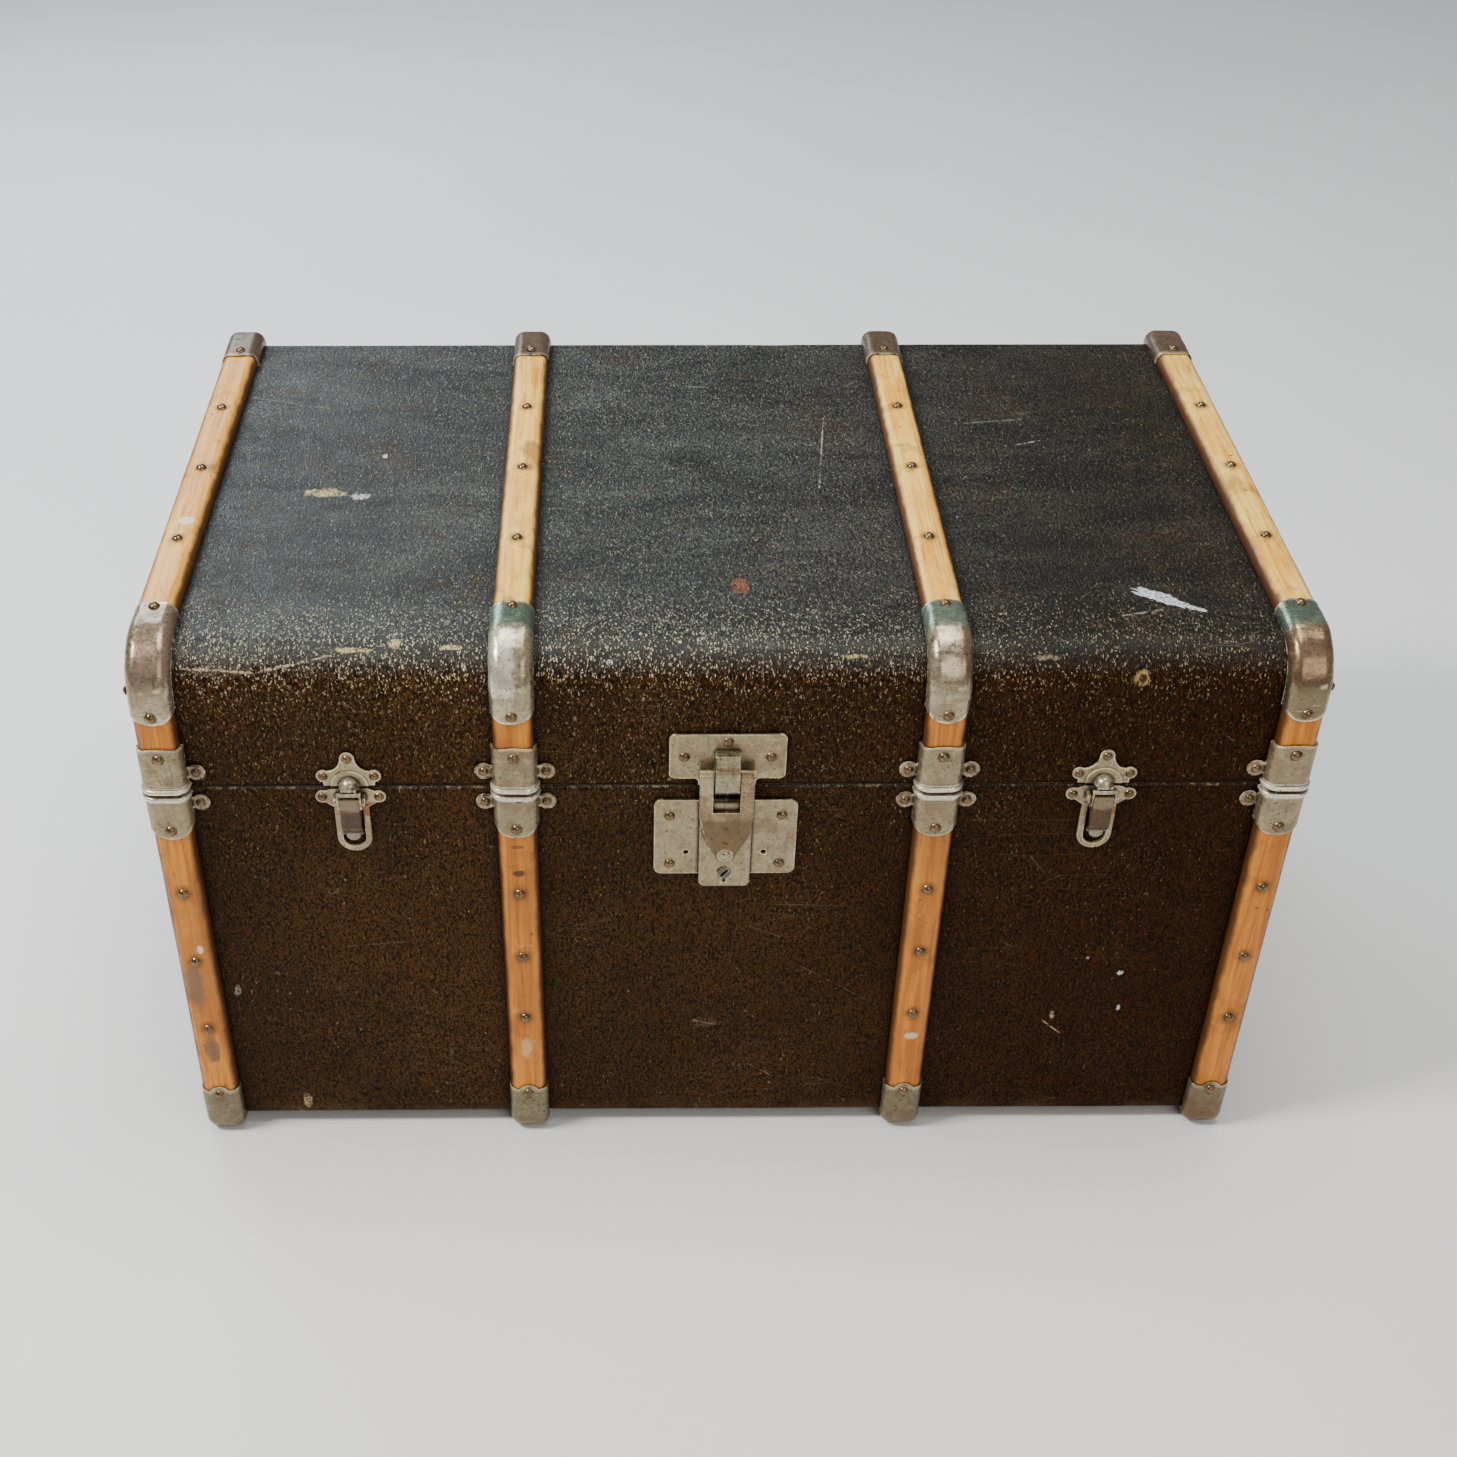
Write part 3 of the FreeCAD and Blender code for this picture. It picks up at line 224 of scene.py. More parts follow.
# ---- materials ----
def covering_material(name, lid):
    """Dark embossed covering: short worm-like grain, flecks of rubbed pigment and painted glints, dust and a
    painted sheen on top, painted shade to the right, in the grain and in corners, and scuffs.
    """
    m = Shade(name)
    x, y, z = m.xyz[0], m.xyz[1], m.xyz[2]
    grain_place = m.warp(m.stretch(1.0, 0.50, 0.50), 330.0, 0.0016)
    pebble = m.cells(580.0, grain_place)
    chance = m.node("ShaderNodeSeparateXYZ", Vector=pebble["Color"]).outputs
    worm = m.noise(620.0, 2.0, 0.5, grain_place, 0.6)
    fine = m.noise(1500.0, 3.0, 0.6, grain_place)
    broad = m.noise(7.0, 5.0, 0.6)
    patch = m.noise(24.0, 5.0, 0.65, warp=0.6)
    wiped = m.noise(16.0, 6.0, 0.7, m.stretch(0.35, 1.0, 1.0), 0.8)
    # Upward faces: on the top the colour takes dust and a painted sheen, and the ridges and flecks turn
    # greyer.
    level = m.span(m.up(), 0.25, 0.92)
    # Towards the right: painted shade, darkening the covering, its ridges and its flecks away from the light
    # on the left.
    right = m.span(x, -0.12, 0.36)
    rubbed = m.span(m.noise(11.0, 6.0, 0.7, warp=0.4), 0.38, 0.66)

    deep = m.mix(m.span(broad, 0.35, 0.68), (0.053, 0.0225, 0.0050), (0.083, 0.0365, 0.0090))
    # Painted shade: the front darkens towards the right.
    deep = m.mix(m.times(right, 0.9), deep, (0.035, 0.0088, 0.0004))
    deep = m.mix(m.times(m.span(patch, 0.48, 0.75), 0.5), deep, (0.080, 0.028, 0.0060))
    # Top colour: wiped dust with a painted cool sheen on the left, going over to a browner, darker painted
    # shade on the right.
    cool_sheen = m.mix(m.span(wiped, 0.34, 0.66), (0.0125, 0.0135, 0.0115), (0.064, 0.070, 0.062))
    brown = m.mix(m.span(wiped, 0.36, 0.68), (0.0075, 0.0060, 0.0028), (0.027, 0.0215, 0.0115))
    dust_and_sheen = m.mix(m.times(right, m.span(broad, 0.2, 0.6, 0.65, 1.0)), cool_sheen, brown)
    dust_and_sheen = m.mix(m.times(m.span(m.noise(15.0, 5.0, 0.65, warp=1.0), 0.52, 0.70), 0.7), dust_and_sheen,
                  (0.042, 0.022, 0.009))
    base = m.mix(level, deep, dust_and_sheen)

    # Grain ridges rubbed lighter; on the top they take a grey painted sheen, and towards the right painted
    # shade darkens them.
    ridge = m.times(m.span(pebble["Distance"], 0.52, 0.12), m.span(chance[2], 0.0, 1.0, 0.10, 0.75))
    worn = m.mix(level, (0.105, 0.052, 0.021) if lid else (0.090, 0.042, 0.016), (0.120, 0.122, 0.100))
    worn = m.mix(m.times(right, 0.75), worn, (0.050, 0.025, 0.008))
    base = m.mix(ridge, base, worn)
    # Painted shade in the valleys between the grains.
    gully_shade = m.times(m.span(pebble["Distance"], 0.30, 0.56), m.span(worm, 0.66, 0.42), 0.92)
    color = m.mix(gully_shade, base, (0.0045, 0.0028, 0.0014))

    # Flecks: rubbed pigment and painted glints on the grain's crowns, greyer on the top and densest and
    # brightest on the worn front bend.
    odds = m.sum("ADD", m.span(rubbed, 0.0, 1.0, 0.10, 0.34),
                 m.times(level, m.span(right, 0.0, 1.0, 0.22, 0.03)))
    bright = m.span(level, 0.0, 1.0, 0.80, 0.80)
    tint = m.mix(level, (0.250, 0.185, 0.105), (0.300, 0.300, 0.245))
    tint = m.mix(m.span(m.noise(80.0, 2.0), 0.46, 0.66), tint, (0.310, 0.230, 0.100))
    if lid:
        bend = m.times(m.span(y, FRONT + 0.105, FRONT + 0.025), m.span(z, TOP - 0.052, TOP - 0.014))
        near_bend = m.span(z, RIM + 0.030, TOP - 0.045, 0.12, 0.34)
        face = m.times(m.span(y, FRONT + 0.02, FRONT + 0.01), near_bend)
        odds = m.sum("ADD", odds, m.either(m.times(bend, m.span(patch, 0.15, 0.5, 0.44, 0.70)), face))
        tint = m.mix(m.times(bend, 0.9), tint, (0.800, 0.700, 0.470))
    else:
        odds = m.times(odds, m.span(z, RIM - 0.20, RIM - 0.02, 0.30, 0.95),
                       m.span(rubbed, 0.0, 1.0, 0.35, 1.15))
    # Painted shade: fewer and darker flecks towards the right.
    odds = m.times(odds, m.span(right, 0.0, 1.0, 1.0, 0.70))
    tint = m.mix(m.times(right, 0.60), tint, (0.110, 0.074, 0.026))
    lit = m.span(m.sum("SUBTRACT", chance[0], m.sum("SUBTRACT", 1.0, odds)), -0.03, 0.05)
    crown = m.span(pebble["Distance"], 0.40, 0.22)
    fleck_and_glint = m.times(lit, crown, m.span(fine, 0.25, 0.50, 0.45, 1.0),
                    m.span(chance[1], 0.0, 1.0, 0.25, 1.0))
    color = m.mix(m.times(fleck_and_glint, bright), color, tint)

    for spot in (LID_MARKS if lid else BASE_MARKS):
        point, radius, ragged, squeeze, shade, force = spot
        mask = m.times(m.near(point, radius, ragged, squeeze), m.span(worm, 0.40, 0.54, 0.10, 1.0))
        color = m.mix(m.times(mask, force), color, shade)
    for start, end, width, shade, force in (LID_SCRATCHES if lid else BASE_SCRATCHES):
        color = m.mix(m.times(m.streak(start, end, width), force), color, shade)
    if lid:
        brink = m.span(z, LID_LO.z + 0.0006, LID_LO.z + 0.0022, 0.75, 0.0)
        color = m.mix(brink, color, (0.010, 0.006, 0.004))
    else:
        brink = m.times(m.span(z, RIM - 0.0032, RIM - 0.0006),
                        m.span(m.noise(170.0, 4.0, 0.7), 0.52, 0.62))
        color = m.mix(m.times(brink, 0.75), color, (0.30, 0.23, 0.12))
        foot = m.times(m.span(z, BASE_LO.z + 0.016, BASE_LO.z), m.span(patch, 0.38, 0.62))
        color = m.mix(m.times(foot, 0.45), color, (0.10, 0.060, 0.025))
    scratch = m.cells(8.0, m.stretch(1.0, 7.0, 7.0), "DISTANCE_TO_EDGE")["Distance"]
    scratch = m.times(m.span(scratch, 0.010, 0.0), m.span(m.noise(14.0, 4.0), 0.55, 0.66))
    color = m.mix(m.times(scratch, 0.40), color, (0.22, 0.18, 0.12))
    # Painted shade in corners, beside the slats and round the hardware.
    color = m.mix(m.times(m.corner_shade(0.014), 0.80), color, (0.0030, 0.0026, 0.0022))

    rough = m.span(m.noise(40.0, 5.0), 0.3, 0.7, 0.34, 0.54)
    height = m.sum("ADD", m.span(pebble["Distance"], 0.62, 0.15), m.times(fine, 0.3))
    soft = m.bump(m.noise(26.0, 4.0), 0.0016, 0.45)
    sheen = m.times(m.span(level, 0.0, 1.0, 0.05, 0.30), m.span(right, 0.0, 1.0, 1.0, 0.7))
    m.put(Base_Color=color, Roughness=rough, Specular_IOR_Level=sheen,
          Normal=m.bump(height, 0.0006, 1.0, soft))
    return m.material


def wood_material(name):
    """Aged varnished slat: long grain, painted light on the upward faces, edges darkened by dirt and painted
    shade, dark marks, rings round the nails and painted shade in corners.
    """
    m = Shade(name)
    along = m.stretch(1.0, 0.045, 0.045)
    grain = m.noise(420.0, 6.0, 0.65, along, 0.5)
    bands = m.noise(95.0, 4.0, 0.5, along, 1.6)
    blotch = m.noise(19.0, 5.0, 0.6, warp=0.5)
    mottle = m.noise(8.0, 4.0, 0.6)
    up = m.span(m.up(), 0.2, 0.9)
    color = m.mix(m.span(bands, 0.35, 0.65), (0.50, 0.150, 0.0055), (0.76, 0.270, 0.0150))
    color = m.mix(m.times(m.span(mottle, 0.45, 0.70), 0.55), color, (0.30, 0.092, 0.009))
    # Painted light: upward faces paler and yellower, as if lit from above (the faded mask, weaker on the
    # leftmost slat).
    pale = m.mix(m.span(bands, 0.35, 0.65), (0.90, 0.43, 0.050), (1.0, 0.68, 0.150))
    faded = m.times(up, m.span(m.xyz[0], -0.39, -0.36, 0.60, 1.0))
    color = m.mix(m.times(faded, m.span(blotch, 0.25, 0.62, 0.55, 1.0)), color, pale)
    color = m.mix(m.times(m.span(grain, 0.50, 0.70), 0.55), color, (0.24, 0.072, 0.010))
    color = m.mix(m.times(m.span(blotch, 0.54, 0.70), 0.62), color, (0.17, 0.055, 0.010))
    wear = m.times(m.span(m.noise(46.0, 5.0, 0.7), 0.60, 0.70), 0.5)
    color = m.mix(wear, color, (0.74, 0.50, 0.24))
    # Darker along both rounded sides of each slat: dirt at the edges and painted shade on the flanks.
    side = m.sum("ABSOLUTE", m.xyz[0])
    off = m.sum("MINIMUM", m.sum("ABSOLUTE", m.sum("SUBTRACT", side, SLAT_X[3])),
                m.sum("ABSOLUTE", m.sum("SUBTRACT", side, SLAT_X[2])))
    ragged = m.sum("ADD", off, m.times(m.sum("SUBTRACT", m.noise(60.0, 4.0), 0.5), 0.004))
    color = m.mix(m.times(m.span(ragged, 0.0100, 0.0140), 0.90), color, (0.045, 0.014, 0.0035))
    stain = m.node("ShaderNodeAttribute")
    stain.attribute_name = "stain"
    ring = m.times(stain.outputs["Fac"], m.span(m.noise(150.0, 4.0), 0.25, 0.6, 0.5, 1.0))
    color = m.mix(m.times(ring, 0.90), color, (0.045, 0.016, 0.005))
    spots = m.span(m.noise(170.0, 3.0, 0.6), 0.68, 0.73)
    color = m.mix(m.times(spots, 0.8), color, (0.075, 0.030, 0.012))
    streak = m.times(m.span(m.noise(60.0, 5.0, 0.7, m.stretch(1.0, 0.25, 0.25), 0.6), 0.63, 0.70), 0.7)
    color = m.mix(streak, color, (0.16, 0.075, 0.028))
    for point, radius, ragged_by, squeeze, shade, force in SLAT_MARKS:
        color = m.mix(m.times(m.near(point, radius, ragged_by, squeeze), force), color, shade)
    # Painted shade in corners, where the slats meet the covering and the hardware.
    color = m.mix(m.times(m.corner_shade(0.006), 0.75), color, (0.020, 0.008, 0.003))
    height = m.sum("ADD", m.times(grain, 0.6), m.times(m.noise(36.0, 4.0), 0.8))
    m.put(Base_Color=color, Roughness=m.span(blotch, 0.3, 0.7, 0.30, 0.50), Specular_IOR_Level=0.32,
          Normal=m.bump(height, 0.0007, 0.7))
    return m.material


def metal_material(name, clean, stain, grime, stained=(0.45, 0.68), shine=0.75, rough=(0.30, 0.55),
                   zones=()):
    """Tarnished sheet metal: brown patina, pits, scratches, dirt and painted shade in the corners, bright
    arrises of wear and painted highlight.
    """
    m = Shade(name)
    cloud = m.noise(34.0, 6.0, 0.68, warp=0.8)
    small = m.noise(260.0, 5.0, 0.68)
    color = m.mix(m.span(small, 0.32, 0.68), tuple(c * 0.58 for c in clean), clean)
    color = m.mix(m.span(cloud, *stained), color, stain)
    fog = m.noise(110.0, 5.0, 0.7, warp=0.5)
    color = m.mix(m.times(m.span(fog, 0.50, 0.74), 0.55), color, tuple(c * 0.62 for c in stain))
    color = m.mix(m.times(m.span(fog, 0.46, 0.30), 0.45), color, tuple(min(1, c * 1.35) for c in clean))
    rough_edge = m.times(m.sum("SUBTRACT", m.noise(110.0, 6.0, 0.75, warp=0.8), 0.5), 1.5)
    for mask, shade, force in (zone(m) for zone in zones):
        color = m.mix(m.times(m.span(m.sum("ADD", mask, rough_edge), 0.25, 0.85), force), color, shade)
    streaks = m.noise(230.0, 4.0, 0.6, m.stretch(1.0, 0.12, 0.12))
    color = m.mix(m.times(m.span(streaks, 0.56, 0.72), 0.35), color, grime)
    glints = m.noise(520.0, 3.0, 0.6, m.stretch(0.10, 1.0, 1.0))
    color = m.mix(m.times(m.span(glints, 0.58, 0.76), 0.45), color, tuple(min(1, c * 1.5) for c in clean))
    pits = m.span(m.noise(480.0, 3.0, 0.6), 0.60, 0.69)
    color = m.mix(m.times(pits, 0.85), color, grime)
    # Baked occlusion at rest: dirt and painted shade in corners, under and between parts.
    dirt_and_shade = m.node("ShaderNodeAttribute")
    dirt_and_shade.attribute_name = "dirt_and_shade"
    soiled_and_shaded = m.span(dirt_and_shade.outputs["Fac"], 0.14, 0.75)
    deep = m.times(soiled_and_shaded, m.span(m.noise(130.0, 5.0, 0.7), 0.25, 0.60, 0.55, 1.0))
    color = m.mix(m.times(deep, 0.95), color, tuple(c * 0.45 for c in grime))
    # Painted shade in tight corners, such as the rings round the rivets.
    color = m.mix(m.times(m.corner_shade(0.0035), 0.85), color, tuple(c * 0.40 for c in grime))
    # Bright arrises: worn metal and painted highlight.
    arris = m.node("ShaderNodeAttribute")
    arris.attribute_name = "arris"
    rim = m.times(arris.outputs["Fac"], m.span(m.noise(90.0, 4.0, 0.7), 0.35, 0.55))
    color = m.mix(m.times(rim, 0.85), color, tuple(min(1, c * 2.0) for c in clean))
    metal = m.sum("SUBTRACT", m.span(cloud, stained[0], stained[1], shine, shine * 0.5),
                  m.times(soiled_and_shaded, shine * 0.45))
    height = m.sum("ADD", m.times(small, 0.5), m.times(m.noise(75.0, 3.0), 1.0))
    m.put(Base_Color=color, Metallic=metal, Roughness=m.span(small, 0.3, 0.7, *rough),
          Normal=m.bump(height, 0.0005, 0.6))
    return m.material


def leather_material(name):
    m = Shade(name)
    crease = m.cells(260.0, m.stretch(1.0, 0.6, 1.0), "DISTANCE_TO_EDGE")["Distance"]
    broad = m.noise(30.0, 5.0, 0.6)
    color = m.mix(m.span(broad, 0.35, 0.7), (0.045, 0.018, 0.008), (0.105, 0.045, 0.018))
    color = m.mix(m.times(m.span(crease, 0.08, 0.0), 0.6), color, (0.015, 0.007, 0.004))
    rub = m.times(m.span(m.noise(70.0, 4.0), 0.55, 0.7), 0.5)
    color = m.mix(rub, color, (0.20, 0.10, 0.045))
    m.put(Base_Color=color, Roughness=m.span(broad, 0.3, 0.7, 0.38, 0.6),
          Normal=m.bump(m.span(crease, 0.0, 0.25), 0.0004, 0.6))
    return m.material


def plywood_material(name):
    m = Shade(name)
    grain = m.noise(160.0, 6.0, 0.6, m.stretch(0.06, 0.3, 1.0), 0.6)
    outwards = m.sum("ADD", m.sum("ABSOLUTE", m.xyz[0]), m.sum("ABSOLUTE", m.xyz[1]))
    plies = m.sum("FRACT", m.times(outwards, 620.0))
    color = m.mix(m.span(grain, 0.3, 0.7), (0.40, 0.24, 0.105), (0.56, 0.37, 0.18))
    color = m.mix(m.times(m.span(plies, 0.45, 0.55), 0.4), color, (0.25, 0.14, 0.06))
    m.put(Base_Color=color, Roughness=m.span(grain, 0.3, 0.7, 0.6, 0.8), Normal=m.bump(grain, 0.0004, 0.4))
    return m.material


def lining_material(name):
    """Cream cotton paper with a fine woven ground and thin faded stripes."""
    m = Shade(name)
    broad = m.noise(8.0, 6.0, 0.65, warp=0.5)
    ground = m.mix(m.span(broad, 0.35, 0.7), (0.52, 0.44, 0.30), (0.66, 0.58, 0.43))
    wall = m.span(m.sum("ABSOLUTE", m.up()), 0.8, 0.6)
    across = m.sum("ADD", m.xyz[0], m.times(m.xyz[1], wall))
    wave = m.sum("ABSOLUTE", m.sum("SUBTRACT", m.sum("FRACT", m.times(across, 34.0)), 0.5))
    thin = m.sum("ABSOLUTE", m.sum("SUBTRACT", wave, 0.20))
    stripe = m.either(m.span(wave, 0.06, 0.045), m.span(thin, 0.022, 0.012))
    faded = m.times(stripe, m.span(m.noise(60.0, 4.0), 0.2, 0.6, 0.45, 0.9))
    color = m.mix(m.times(faded, 0.7), ground, (0.16, 0.20, 0.25))
    foxing = m.times(m.span(m.noise(42.0, 5.0, 0.7), 0.60, 0.74), 0.6)
    color = m.mix(foxing, color, (0.30, 0.19, 0.09))
    weave = m.sum("ADD", m.noise(900.0, 2.0, 0.5, m.stretch(1, 0.1, 0.1)),
                  m.noise(900.0, 2.0, 0.5, m.stretch(0.1, 1, 1)))
    m.put(Base_Color=color, Roughness=m.span(broad, 0.3, 0.7, 0.75, 0.9), Normal=m.bump(weave, 0.0002, 0.5))
    return m.material


def torn_material(name, pale, dark):
    """Torn fibre board showing where the covering has gone."""
    m = Shade(name)
    fibre = m.noise(420.0, 6.0, 0.7, m.stretch(1.0, 2.2, 1.0), 1.0)
    color = m.mix(m.span(fibre, 0.42, 0.56), dark, pale)
    m.put(Base_Color=color, Roughness=m.span(fibre, 0.3, 0.7, 0.7, 0.9), Normal=m.bump(fibre, 0.0008, 0.8))
    return m.material


def floor_material(name):
    m = Shade(name)
    tone = m.noise(2.5, 4.0, 0.5)
    m.put(Base_Color=m.mix(tone, (0.92, 0.92, 0.915), (0.97, 0.97, 0.965)),
          Roughness=m.span(tone, 0.3, 0.7, 0.55, 0.7))
    return m.material


# Marks on the covering: place, radius, raggedness, squeeze of each axis, colour, strength.
YELLOW, WHITE, RUSTY = (0.62, 0.50, 0.22), (0.70, 0.72, 0.72), (0.34, 0.10, 0.025)
FRONT, BEND = LID_LO.y, TOP - 0.008


def on_top(x, from_front, drop=0.0):
    """A place on the lid's top, measured back from the front face and down from the top."""
    return (x, FRONT + from_front, TOP - drop)


def on_front(x, down):
    """A place on the base's front face, measured down from its rim."""
    return (x, BASE_LO.y, RIM - down)


def on_slat(number, down, across=0.0):
    """A place on a front slat of the base, measured down from the rim."""
    return (SLAT_X[number] + across, BASE_LO.y - SLAT_T, RIM - down)


SLAT_TOP = TOP + SLAT_T
LID_MARKS = [
    (on_top(-0.3145, 0.238), 0.020, 0.030, (1.0, 2.4, 1.0), YELLOW, 0.8),
    (on_top(-0.285, 0.232), 0.010, 0.012, (1.0, 1.6, 1.0), WHITE, 0.7),
    (on_top(-0.272, 0.300), 0.004, 0.006, (1.4, 0.7, 1.0), WHITE, 0.8),
    (on_top(-0.272, 0.016, 0.0045), 0.014, 0.016, (0.8, 6.0, 6.0), YELLOW, 0.9),
    (on_top(-0.240, 0.022, 0.0022), 0.008, 0.012, (1.2, 1.5, 1.5), YELLOW, 0.9),
    (on_top(-0.200, 0.018, 0.0036), 0.011, 0.012, (1.0, 4.5, 4.5), YELLOW, 0.95),
    (on_top(0.0875, 0.011, 0.0077), 0.011, 0.016, (1.0, 4.6, 4.6), YELLOW, 0.7),
    (on_top(0.225, 0.010, 0.0085), 0.012, 0.018, (1.0, 3.6, 3.6), (0.40, 0.33, 0.18), 0.6),
    (on_top(-0.0862, 0.008, 0.0104), 0.0030, 0.002, (1.0, 1.0, 1.0), WHITE, 1.0),
    (on_top(0.0105, 0.0954), 0.012, 0.018, (1.5, 0.9, 1.0), RUSTY, 0.6),
    (on_top(-0.365, 0.004, 0.0145), 0.028, 0.024, (1.0, 5.5, 5.5), (0.16, 0.12, 0.08), 0.35),
    ((0.296, FRONT + 0.003, BEND - 0.014), 0.0075, 0.004, (1.0, 1.0, 1.0), (0.42, 0.27, 0.12), 0.95),
    ((0.296, FRONT + 0.003, BEND - 0.014), 0.0042, 0.002, (1.0, 1.0, 1.0), (0.035, 0.016, 0.006), 1.0),
    (on_top(0.356, 0.072), 0.026, 0.030, (1.0, 1.6, 1.0), (0.008, 0.006, 0.005), 0.8),
]
BASE_MARKS = [
    (on_front(0.3226, 0.1913), 0.0032, 0.003, (1.0, 1.0, 1.0), (0.85, 0.85, 0.85), 1.0),
    (on_front(0.2944, 0.1748), 0.0018, 0.002, (1.0, 1.0, 1.0), (0.6, 0.6, 0.58), 1.0),
    (on_front(0.2739, 0.2376), 0.0036, 0.004, (1.6, 1.0, 0.7), (0.50, 0.36, 0.20), 1.0),
    (on_front(0.3269, 0.2301), 0.0028, 0.003, (1.6, 1.0, 0.7), (0.60, 0.58, 0.52), 1.0),
    (on_front(-0.3883, 0.2060), 0.0050, 0.010, (1.4, 1.0, 0.8), (0.36, 0.33, 0.26), 0.75),
    (on_front(-0.3449, 0.3330), 0.0070, 0.008, (1.6, 1.0, 0.7), (0.50, 0.36, 0.20), 0.9),
    (on_front(-0.011, 0.2440), 0.0110, 0.006, (0.75, 1.0, 1.6), (0.13, 0.085, 0.04), 0.5),
]
TEAR_EDGE = ((-0.3925, -0.250, 0.461), (-0.339, -0.2515, 0.458), (-0.286, -0.2435, 0.467))
LID_SCRATCHES = [
    ((0.095, 0.114, TOP), (0.081, -0.018, TOP), 0.0007, (0.34, 0.35, 0.31), 0.7),
    ((0.0815, -0.0165, TOP), (0.0800, -0.0215, TOP), 0.0024, (0.004, 0.003, 0.002), 1.0),
    (TEAR_EDGE[0], TEAR_EDGE[1], 0.0013, (0.46, 0.36, 0.25), 0.95),
    (TEAR_EDGE[1], TEAR_EDGE[2], 0.0013, (0.50, 0.38, 0.24), 0.95),
    ((0.160, 0.190, TOP), (0.168, 0.178, TOP), 0.0012, (0.45, 0.44, 0.38), 0.8),
    ((0.205, 0.098, TOP), (0.262, 0.106, TOP), 0.0012, (0.26, 0.26, 0.23), 0.4),
    ((0.250, 0.060, TOP), (0.272, 0.068, TOP), 0.0010, (0.42, 0.42, 0.38), 0.8),
    ((0.352, FRONT + 0.055, TOP), (0.392, FRONT + 0.044, TOP), 0.0014, (0.003, 0.002, 0.002), 0.9),
    ((0.288, FRONT + 0.052, TOP), (0.318, FRONT + 0.060, TOP), 0.0012, (0.30, 0.28, 0.22), 0.7),
    ((-0.395, 0.150, TOP), (-0.330, 0.130, TOP), 0.0010, (0.20, 0.20, 0.18), 0.6),
    ((-0.020, 0.170, TOP), (0.015, 0.166, TOP), 0.0009, (0.22, 0.22, 0.19), 0.6),
]
BASE_SCRATCHES = [
    ((-0.020, BASE_LO.y, 0.118), (-0.003, BASE_LO.y, 0.113), 0.0010, (0.24, 0.16, 0.08), 0.7),
    ((0.022, BASE_LO.y, 0.070), (0.045, BASE_LO.y, 0.054), 0.0008, (0.24, 0.16, 0.08), 0.7),
    ((0.266, BASE_LO.y, 0.116), (0.284, BASE_LO.y, 0.100), 0.0009, (0.42, 0.30, 0.18), 0.8),
    ((-0.352, BASE_LO.y, 0.014), (-0.336, BASE_LO.y, 0.006), 0.0012, (0.50, 0.40, 0.26), 0.9),
    ((-0.300, BASE_LO.y, 0.200), (-0.250, BASE_LO.y, 0.205), 0.0008, (0.14, 0.09, 0.05), 0.6),
    ((0.060, BASE_LO.y, 0.180), (0.120, BASE_LO.y, 0.140), 0.0007, (0.13, 0.08, 0.035), 0.6),
]
SLAT_MARKS = [
    (on_slat(0, 0.190, -0.004), 0.022, 0.020, (2.6, 1.0, 0.7), (0.13, 0.10, 0.06), 0.7),
    (on_slat(0, 0.262), 0.014, 0.014, (1.7, 1.0, 0.8), (0.10, 0.075, 0.045), 0.75),
    (on_slat(0, 0.1525, 0.005), 0.0035, 0.003, (1.3, 1.0, 0.7), (0.85, 0.75, 0.6), 0.9),
    (on_slat(1, 0.076), 0.0058, 0.006, (0.9, 1.0, 1.6), (0.07, 0.02, 0.008), 0.9),
    (on_slat(1, 0.050), 0.0050, 0.006, (0.8, 1.0, 2.2), (0.14, 0.05, 0.015), 0.8),
    (on_slat(1, 0.262), 0.011, 0.012, (2.0, 1.0, 0.8), (0.70, 0.48, 0.28), 0.6),
    (on_slat(2, 0.250), 0.006, 0.008, (0.8, 1.0, 1.3), (0.80, 0.66, 0.46), 0.7),
    (on_slat(3, 0.318), 0.006, 0.008, (0.9, 1.0, 1.0), (0.85, 0.76, 0.58), 0.8),
    ((SLAT_X[0] + 0.002, FRONT + 0.175, SLAT_TOP), 0.008, 0.010, (1.0, 1.2, 1.0),
     (0.72, 0.72, 0.55), 0.85),
    ((SLAT_X[1] - 0.003, FRONT + 0.050, SLAT_TOP), 0.014, 0.012, (2.0, 0.8, 1.0),
     (0.12, 0.05, 0.02), 0.55),
]


# ---- mesh helpers ----
def new_piece(name, verts, faces, material, body):
    mesh = bpy.data.meshes.new(name)
    mesh.from_pydata(verts, [], faces)
    mesh.validate()
    work = bmesh.new()
    work.from_mesh(mesh)
    bmesh.ops.remove_doubles(work, verts=work.verts, dist=1e-6)
    bmesh.ops.recalc_face_normals(work, faces=work.faces)
    work.to_mesh(mesh)
    work.free()
    piece = bpy.data.objects.new(name, mesh)
    bpy.context.scene.collection.objects.link(piece)
    mesh.materials.append(material)
    mesh.shade_smooth()
    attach(piece, body)
    return piece


def whole_shape():
    """Every CAD surface at rest, for finding corners where dirt collects and shade is painted."""
    verts, faces = [], []
    for obj in frame["nodes"].values():
        start = len(verts)
        verts += [v.co.copy() for v in obj.data.vertices]
        faces += [[start + i for i in p.vertices] for p in obj.data.polygons]
    return BVHTree.FromPolygons(verts, faces)


CORNERS = whole_shape()
DIRT_AND_SHADE_REACH = 0.0048
SPREAD = [Vector((math.cos(a) * t, math.sin(a) * t, math.sqrt(1 - t * t)))
          for t, n in ((0.45, 4), (0.88, 7)) for a in [math.tau * (k + t) / n for k in range(n)]]


def dirt_and_shade_at(point, normal):
    """Share of short rays from a point that are stopped by other surfaces."""
    turn = normal.to_track_quat("Z", "Y")
    origin = point + normal * 0.00012
    stopped = 0.0
    for way in SPREAD:
        hit = CORNERS.ray_cast(origin, turn @ way, DIRT_AND_SHADE_REACH)
        if hit[0] is not None:
            stopped += 1.0 - hit[3] / DIRT_AND_SHADE_REACH * 0.6
    return min(1.0, stopped / len(SPREAD) * 1.9)


